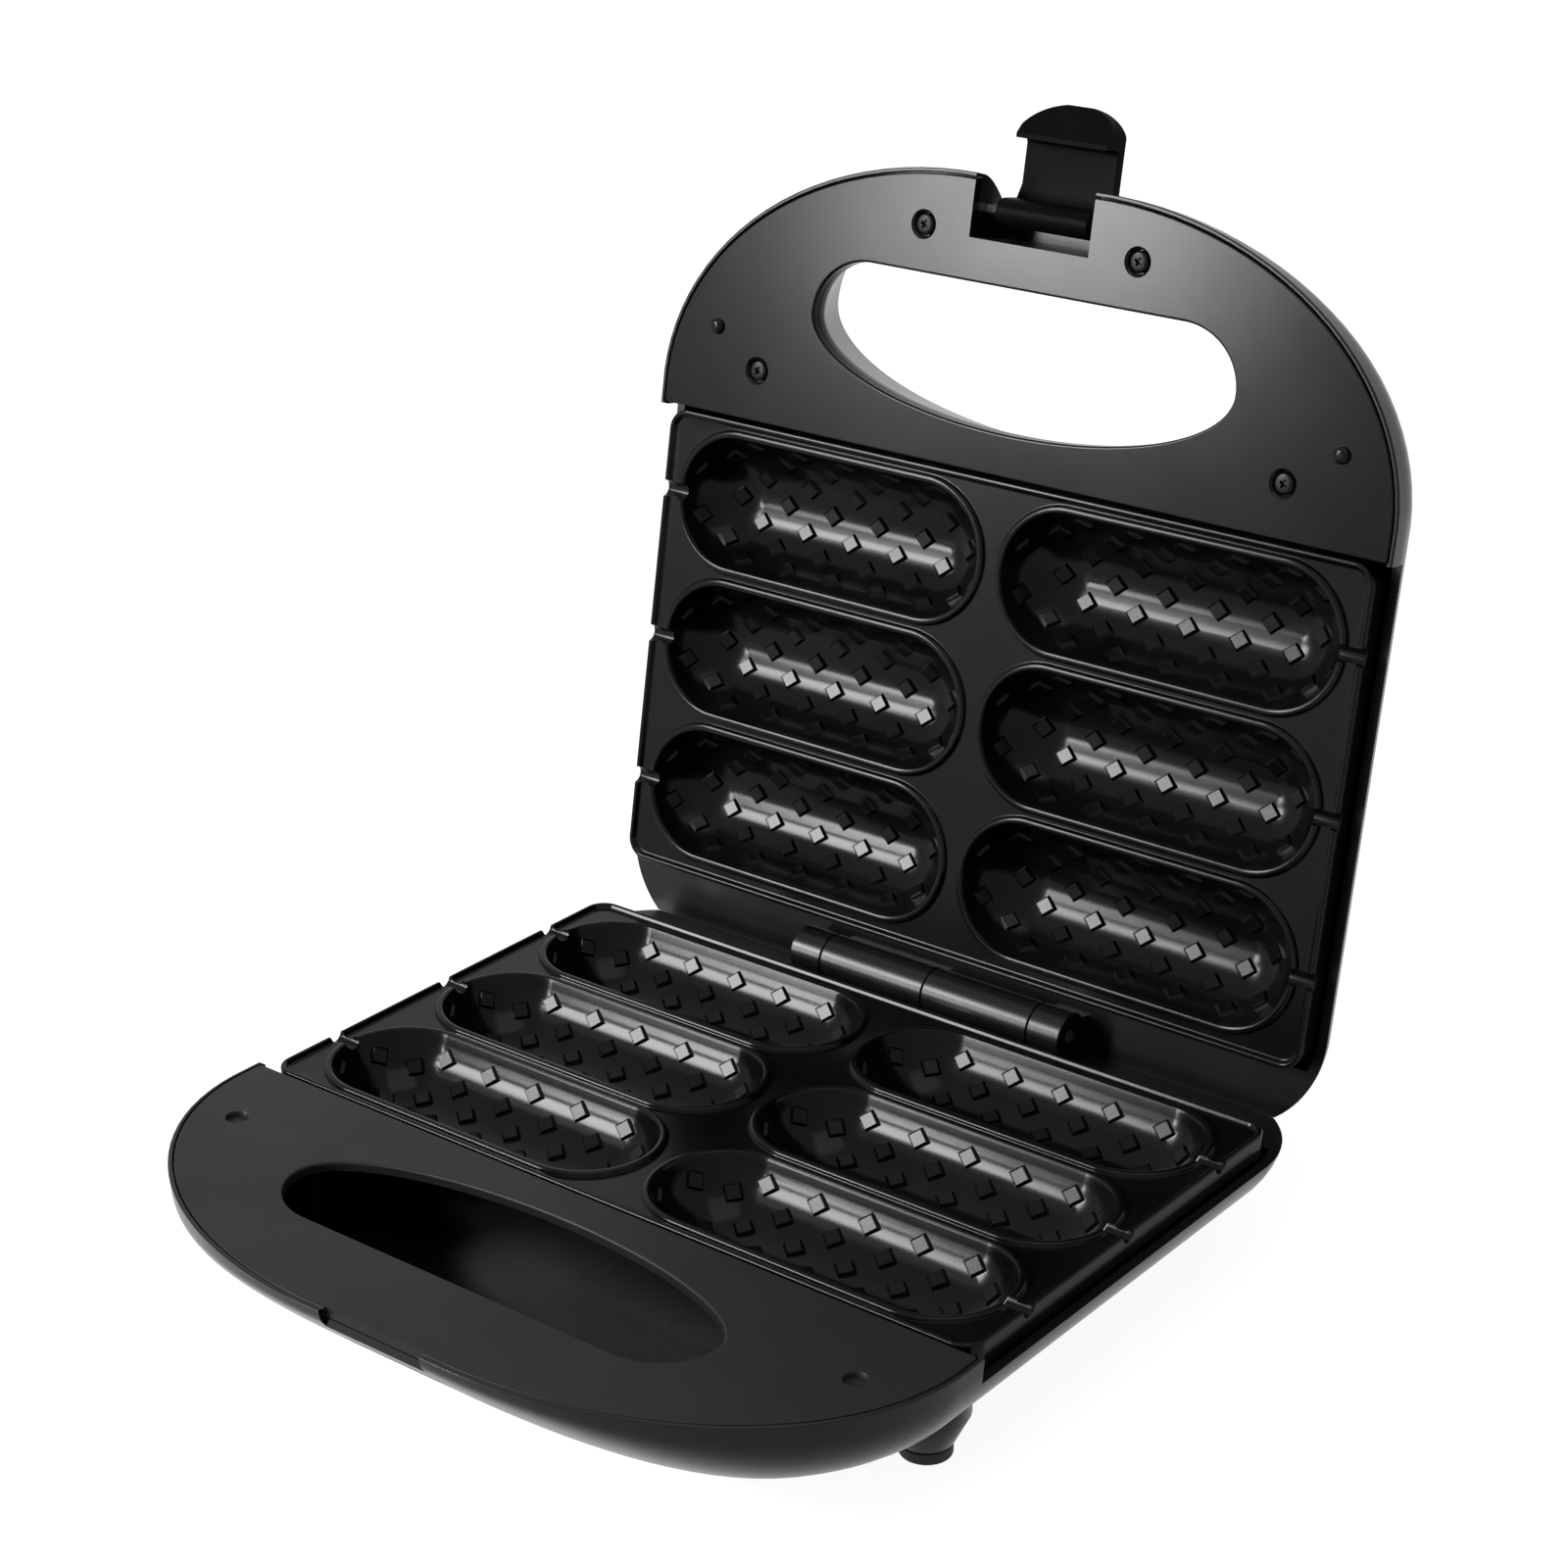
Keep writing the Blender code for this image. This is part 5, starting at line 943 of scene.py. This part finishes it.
class CORNDOG_OT_hinge_and_latch(Operator):
    """Makes the hinge pin, the latch pin and the latch"""
    bl_idname = "corndog.hinge_and_latch"
    bl_label = "Hinge and latch"

    def execute(self, context):
        fittings = settings("fittings")
        rod = rounded_stations(-PIN_HALF, PIN_HALF, fittings.pin, 0.5 * MM, 0.5 * MM)
        finish_piece(solid("hinge_rod", turned(rod, place=AXIS)), "base", "hinge_pin", look("steel"))
        reach = 20.9 * MM
        rod = rounded_stations(-reach, reach, 1.5 * MM, 0.3 * MM, 0.3 * MM)
        piece = solid("latch_rod", turned(rod, steps=24, place=latch_place() @ ALONG_U))
        finish_piece(piece, "lid", "latch_pin", look("steel"))
        finish_piece(self.latch(fittings.latch_half), "latch", "latch", look("latch"))
        return {"FINISHED"}

    def arc(self, bm, centre, radii, start, sweep, steps):
        """The points of an elliptic arc, made by turning one point and stretching the turn."""
        before = len(bm.verts)
        first = bm.verts.new((centre[0] + cos(start), centre[1] + sin(start), 0.0))
        bmesh.ops.spin(bm, geom=[first], cent=(*centre, 0.0), axis=(0, 0, 1), angle=sweep, steps=steps)
        bm.verts.ensure_lookup_table()
        verts = bm.verts[before:]
        space = Matrix.Translation((-centre[0], -centre[1], 0.0))
        bmesh.ops.scale(bm, vec=(radii[0], radii[1], 1.0), space=space, verts=verts)
        return verts

    def latch(self, half):
        """The hooked latch, drawn in section and grown across its width."""
        bm = bmesh.new()
        tip, lip, outer, hub, body = 1.8 * MM, 19.0 * MM, 10.4 * MM, 3.6 * MM, 7.4 * MM
        low, crest = lip + 1.2 * MM, lip + 9.5 * MM
        chain = [bm.verts.new((tip, lip, 0.0)), bm.verts.new((tip, low, 0.0))]
        chain += self.arc(bm, (outer - 1.5 * MM, crest - 1.5 * MM), (1.5 * MM, 1.5 * MM), pi / 2,
                          -pi / 2, 9)
        chain += self.arc(bm, (0.0, hub), (outer, 2 * hub), 0.0, -pi / 2, 16)
        chain += self.arc(bm, (0.0, 0.0), (hub, hub), -pi / 2 - 0.15, 0.15 - pi, 16)
        chain += [bm.verts.new((body - hub / 2, hub, 0.0)), bm.verts.new((body, 2 * hub, 0.0))]
        chain += self.arc(bm, (body - 1.5 * MM, lip - 1.5 * MM), (1.5 * MM, 1.5 * MM), 0.0, pi / 2, 5)
        for first, second in zip(chain, chain[1:] + chain[:1]):
            if not bm.edges.get((first, second)):
                bm.edges.new((first, second))
        made = bmesh.ops.contextual_create(bm, geom=bm.edges[:])["faces"]
        grown = bmesh.ops.extrude_face_region(bm, geom=made)["geom"]
        moved = [item for item in grown if isinstance(item, bmesh.types.BMVert)]
        bmesh.ops.translate(bm, vec=(0, 0, 2 * half), verts=moved)
        bmesh.ops.translate(bm, vec=(0, 0, -half), verts=bm.verts)
        sides = [face for face in bm.faces if abs(face.normal.z) > 0.9]
        rims = list({edge for face in sides for edge in face.edges})
        bmesh.ops.bevel(bm, geom=rims, offset=0.3 * MM, segments=2, profile=0.5, affect="EDGES", material=-1,
                        clamp_overlap=True)
        piece = solid("latch_hook", bm)
        cut(piece, turned(((-half - OVERRUN, 1.8 * MM), (half + OVERRUN, 1.8 * MM)), steps=24))
        stand = Matrix(((0, 0, 1, 0), (0, 1, 0, 0), (1, 0, 0, 0), (0, 0, 0, 1)))
        piece.data.transform(latch_place() @ stand)
        fittings = settings("fittings")
        low, crest = low + fittings.latch_place, crest + fittings.latch_place
        deep = fittings.latch_depth + outer + OVERRUN
        over = solid("over", block(half + OVERRUN, low, crest + OVERRUN, 0.0, deep))
        arch = ((half + GAP, crest - low + GAP, 0.0, low),) * 4
        cut(over, lofted(((arch, -OVERRUN), (arch, deep + OVERRUN)), 96))
        cut(piece, taken(over))
        return piece


class CORNDOG_OT_fittings(Operator):
    """Makes the feet, the cord bush, the screw cap and the lamps"""
    bl_idname = "corndog.fittings"
    bl_label = "Feet, bush, cap and lamps"

    def execute(self, context):
        shell, fittings = settings("shell"), settings("fittings")
        ground = shell.depth + fittings.foot_height
        names = ("front_left", "front_right", "rear_left", "rear_right")
        for name, place in zip(names, foot_places()):
            pad = rounded_stations(ground - 3 * MM, ground, fittings.foot_radius, 0.3 * MM, 0.6 * MM)
            stations = [(ground - 7.5 * MM, 2.6 * MM), (ground - 7.2 * MM, 3.0 * MM),
                        (ground - 3 * MM, 3.0 * MM)]
            stations += pad + [(ground, 3.6 * MM), (ground - 0.8 * MM, 3.2 * MM)]
            finish_piece(solid("rubber_pad_" + name, turned(stations, *place, 40)), "base", "foot_" + name,
                         look("rubber"))
        self.bush()
        middle = settings("plate").first_row + settings("plate").pitch
        stations = [(shell.depth - 1.2 * MM, 6.2 * MM), (shell.depth - 0.3 * MM, 6.2 * MM),
                    (shell.depth - 0.1 * MM, 6.1 * MM), (shell.depth, 5.9 * MM)]
        finish_piece(solid("lid_fixing_cap", turned(stations, 0.0, middle, 48)), "lid", "lid_screw_cap",
                     look("shell"))
        floor = shell.depth - shell.wall
        stations = [(floor - 1.3 * MM, 4.3 * MM), (floor - GAP, 4.3 * MM), (floor - GAP, 3.0 * MM)]
        for step in range(9):
            angle = pi / 2 * step / 9
            stations.append((shell.depth + 1.0 * MM * sin(angle), 3.0 * MM * cos(angle)))
        for name, side, tint, slot in (("power_lamp", 1, (0.45, 0.02, 0.015), "red_lens"),
                                       ("ready_lamp", -1, (0.03, 0.30, 0.05), "green_lens")):
            piece = solid(name + "_lens", turned(stations, side * LAMP_PLACE[0], LAMP_PLACE[1]))
            finish_piece(piece, "lid", name, (lens(name.replace("_", " ") + " lens", tint), slot))
        return {"FINISHED"}

    def bush(self):
        """The ringed bush in the rear wall that a mains lead passes through."""
        stations = ((12.0, 3.4), (12.0, 5.2), (11.85, 5.6), (11.4, 5.95), (10.8, 6.0), (10.8, 5.0),
                    (-4.0, 5.0), (-4.0, 3.4))
        bm = bmesh.new()
        rings = [ring(bm, disc(radius * MM), depth * MM, 40) for depth, radius in stations]
        loft(bm, rings + rings[:1], capped=False)
        bmesh.ops.transform(bm, matrix=CORD_WAY, verts=bm.verts)
        finish_piece(solid("cord_bush", bm), "base", "cord_gland", look("rubber"))


class CORNDOG_OT_inner_parts(Operator):
    """Gives the heaters, clamps, reflectors and switches their finishes"""
    bl_idname = "corndog.inner_parts"
    bl_label = "Inner parts"

    def execute(self, context):
        sheath = surface("heater sheath", (0.20, 0.19, 0.18), 0.42, metallic=1.0, grain=(900.0, 0.12),
                         cloud=0.3)
        sheet = surface("bright aluminium sheet", (0.78, 0.78, 0.79), 0.22, metallic=1.0,
                        grain=(600.0, 0.05), cloud=0.05)
        white = surface("white ceramic", (0.70, 0.68, 0.64), 0.38, grain=(700.0, 0.10), cloud=0.06)
        steel = look("steel")[0]
        finishes = {"heater": sheath, "heater_clamp": steel, "reflector": sheet}
        for prefix in HALF_NAMES:
            for part, finish in finishes.items():
                self.dress(prefix + "_" + part, finish)
        for name, finish in (("thermostat", white), ("terminal_block", white), ("thermal_fuse", steel)):
            self.dress(name, finish)
        return {"FINISHED"}

    def dress(self, name, finish):
        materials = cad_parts[name].data.materials
        if not materials:
            materials.append(finish)
        for index in range(len(materials)):
            materials[index] = finish


def either(tree, first, second):
    """The larger of two values."""
    node = tree.nodes.new("ShaderNodeMath")
    node.operation = "MAXIMUM"
    tree.links.new(first, node.inputs[0])
    tree.links.new(second, node.inputs[1])
    return node.outputs[0]


def looked_at(tree):
    """1 for camera, glossy and transmission rays, and 0 for all others."""
    path = tree.nodes.new("ShaderNodeLightPath").outputs
    seen = either(tree, path["Is Camera Ray"], path["Is Transmission Ray"])
    return either(tree, path["Is Glossy Ray"], seen)


class CORNDOG_OT_stage(Operator):
    """Makes the floor, the lights, the surroundings and the camera"""
    bl_idname = "corndog.stage"
    bl_label = "Stage"

    def execute(self, context):
        self.floor(context)
        self.world(context)
        self.lamp(context, "front softbox", (-0.567, -0.70, 0.436), 3.0, 0.80, 0.80, 135.0)
        self.lamp(context, "low softbox", (-0.56, -0.84, 0.15), 3.0, 0.40, 0.45, 44.0)
        self.lamp(context, "overhead fill", (0.15, -0.10, 1.0), 2.2, 1.6, 1.6, 14.0)
        self.camera(context)
        return {"FINISHED"}

    def floor(self, context):
        bm = bmesh.new()
        bmesh.ops.create_grid(bm, x_segments=1, y_segments=1, size=6.0)
        plane = solid("studio_floor", bm)
        made, tree, shader = new_material("pale floor")
        tint = settings("finishes").floor
        place = tree.nodes.new("ShaderNodeTexCoord").outputs["Object"]
        cloud = spread(tree, noise(tree, place, 3.0), 0.0, 1.0)
        lower = [channel * 0.98 for channel in tint]
        feed(tree, shader, Base_Color=mixed(tree, cloud, lower, tint), Roughness=0.9, Specular_IOR_Level=0.1)
        glow = feed(tree, tree.nodes.new("ShaderNodeEmission"), Color=WHITE,
                    Strength=spread(tree, looked_at(tree), 0.0, FLOOR_GLOW, 0.0, 1.0))
        both = tree.nodes.new("ShaderNodeAddShader")
        tree.links.new(shader.outputs["BSDF"], both.inputs[0])
        tree.links.new(glow, both.inputs[1])
        tree.links.new(both.outputs["Shader"], tree.nodes["Material Output"].inputs["Surface"])
        plane.data.materials.append(made)

    def world(self, context):
        world = bpy.data.worlds.new("studio")
        world.use_nodes = True
        context.scene.world = world
        tree = world.node_tree
        feed(tree, tree.nodes["Background"], Color=WHITE,
             Strength=spread(tree, looked_at(tree), 0.35, 1.0, 0.0, 1.0))

    def lamp(self, context, name, way, distance, width, height, power):
        data = bpy.data.lights.new(name, "AREA")
        data.shape = "RECTANGLE"
        data.size = width
        data.size_y = height
        data.energy = power
        made = bpy.data.objects.new(name, data)
        aim = Vector(way).normalized()
        made.location = Vector((0.0, 0.0, 0.10)) + aim * distance
        made.rotation_euler = aim.to_track_quat("Z", "Y").to_euler()
        context.collection.objects.link(made)

    def camera(self, context):
        data = bpy.data.cameras.new("photo camera")
        data.sensor_width = 36.0
        data.lens = 76.93
        made = bpy.data.objects.new("photo camera", data)
        azimuth, elevation = radians(37.95), radians(22.84)
        back = Vector((sin(azimuth) * cos(elevation), -cos(azimuth) * cos(elevation),
                       sin(elevation)))
        made.location = HINGE + Vector((0.4660, -0.6631, 0.4013))
        made.rotation_euler = back.to_track_quat("Z", "Y").to_euler()
        context.collection.objects.link(made)
        context.scene.camera = made
        context.scene.view_settings.view_transform = "Standard"


class CORNDOG_PT_panel(Panel):
    """Lists the pieces of the corn dog maker"""
    bl_label = "Corn Dog Maker"
    bl_idname = "CORNDOG_PT_panel"
    bl_space_type = "VIEW_3D"
    bl_region_type = "UI"
    bl_category = "Corn Dog Maker"

    def draw(self, context):
        layout = self.layout
        for operator in OPERATORS:
            layout.operator(operator.bl_idname)
        for group, kind in GROUPS:
            box = layout.box()
            for name in kind.__annotations__:
                box.prop(getattr(context.scene, group), name)


OPERATORS = (CORNDOG_OT_plates, CORNDOG_OT_shells, CORNDOG_OT_covers, CORNDOG_OT_screws,
             CORNDOG_OT_hinge_and_latch, CORNDOG_OT_fittings, CORNDOG_OT_inner_parts, CORNDOG_OT_stage)


def register():
    for group, kind in GROUPS:
        bpy.utils.register_class(kind)
        setattr(bpy.types.Scene, group, PointerProperty(type=kind))
    for operator in OPERATORS:
        bpy.utils.register_class(operator)
    bpy.utils.register_class(CORNDOG_PT_panel)


def unregister():
    bpy.utils.unregister_class(CORNDOG_PT_panel)
    for operator in reversed(OPERATORS):
        bpy.utils.unregister_class(operator)
    for group, kind in reversed(GROUPS):
        delattr(bpy.types.Scene, group)
        bpy.utils.unregister_class(kind)


def main():
    register()
    bpy.ops.corndog.plates()
    bpy.ops.corndog.shells()
    bpy.ops.corndog.covers()
    bpy.ops.corndog.screws()
    bpy.ops.corndog.hinge_and_latch()
    bpy.ops.corndog.fittings()
    bpy.ops.corndog.inner_parts()
    bpy.ops.corndog.stage()


if __name__ == "__main__":
    main()
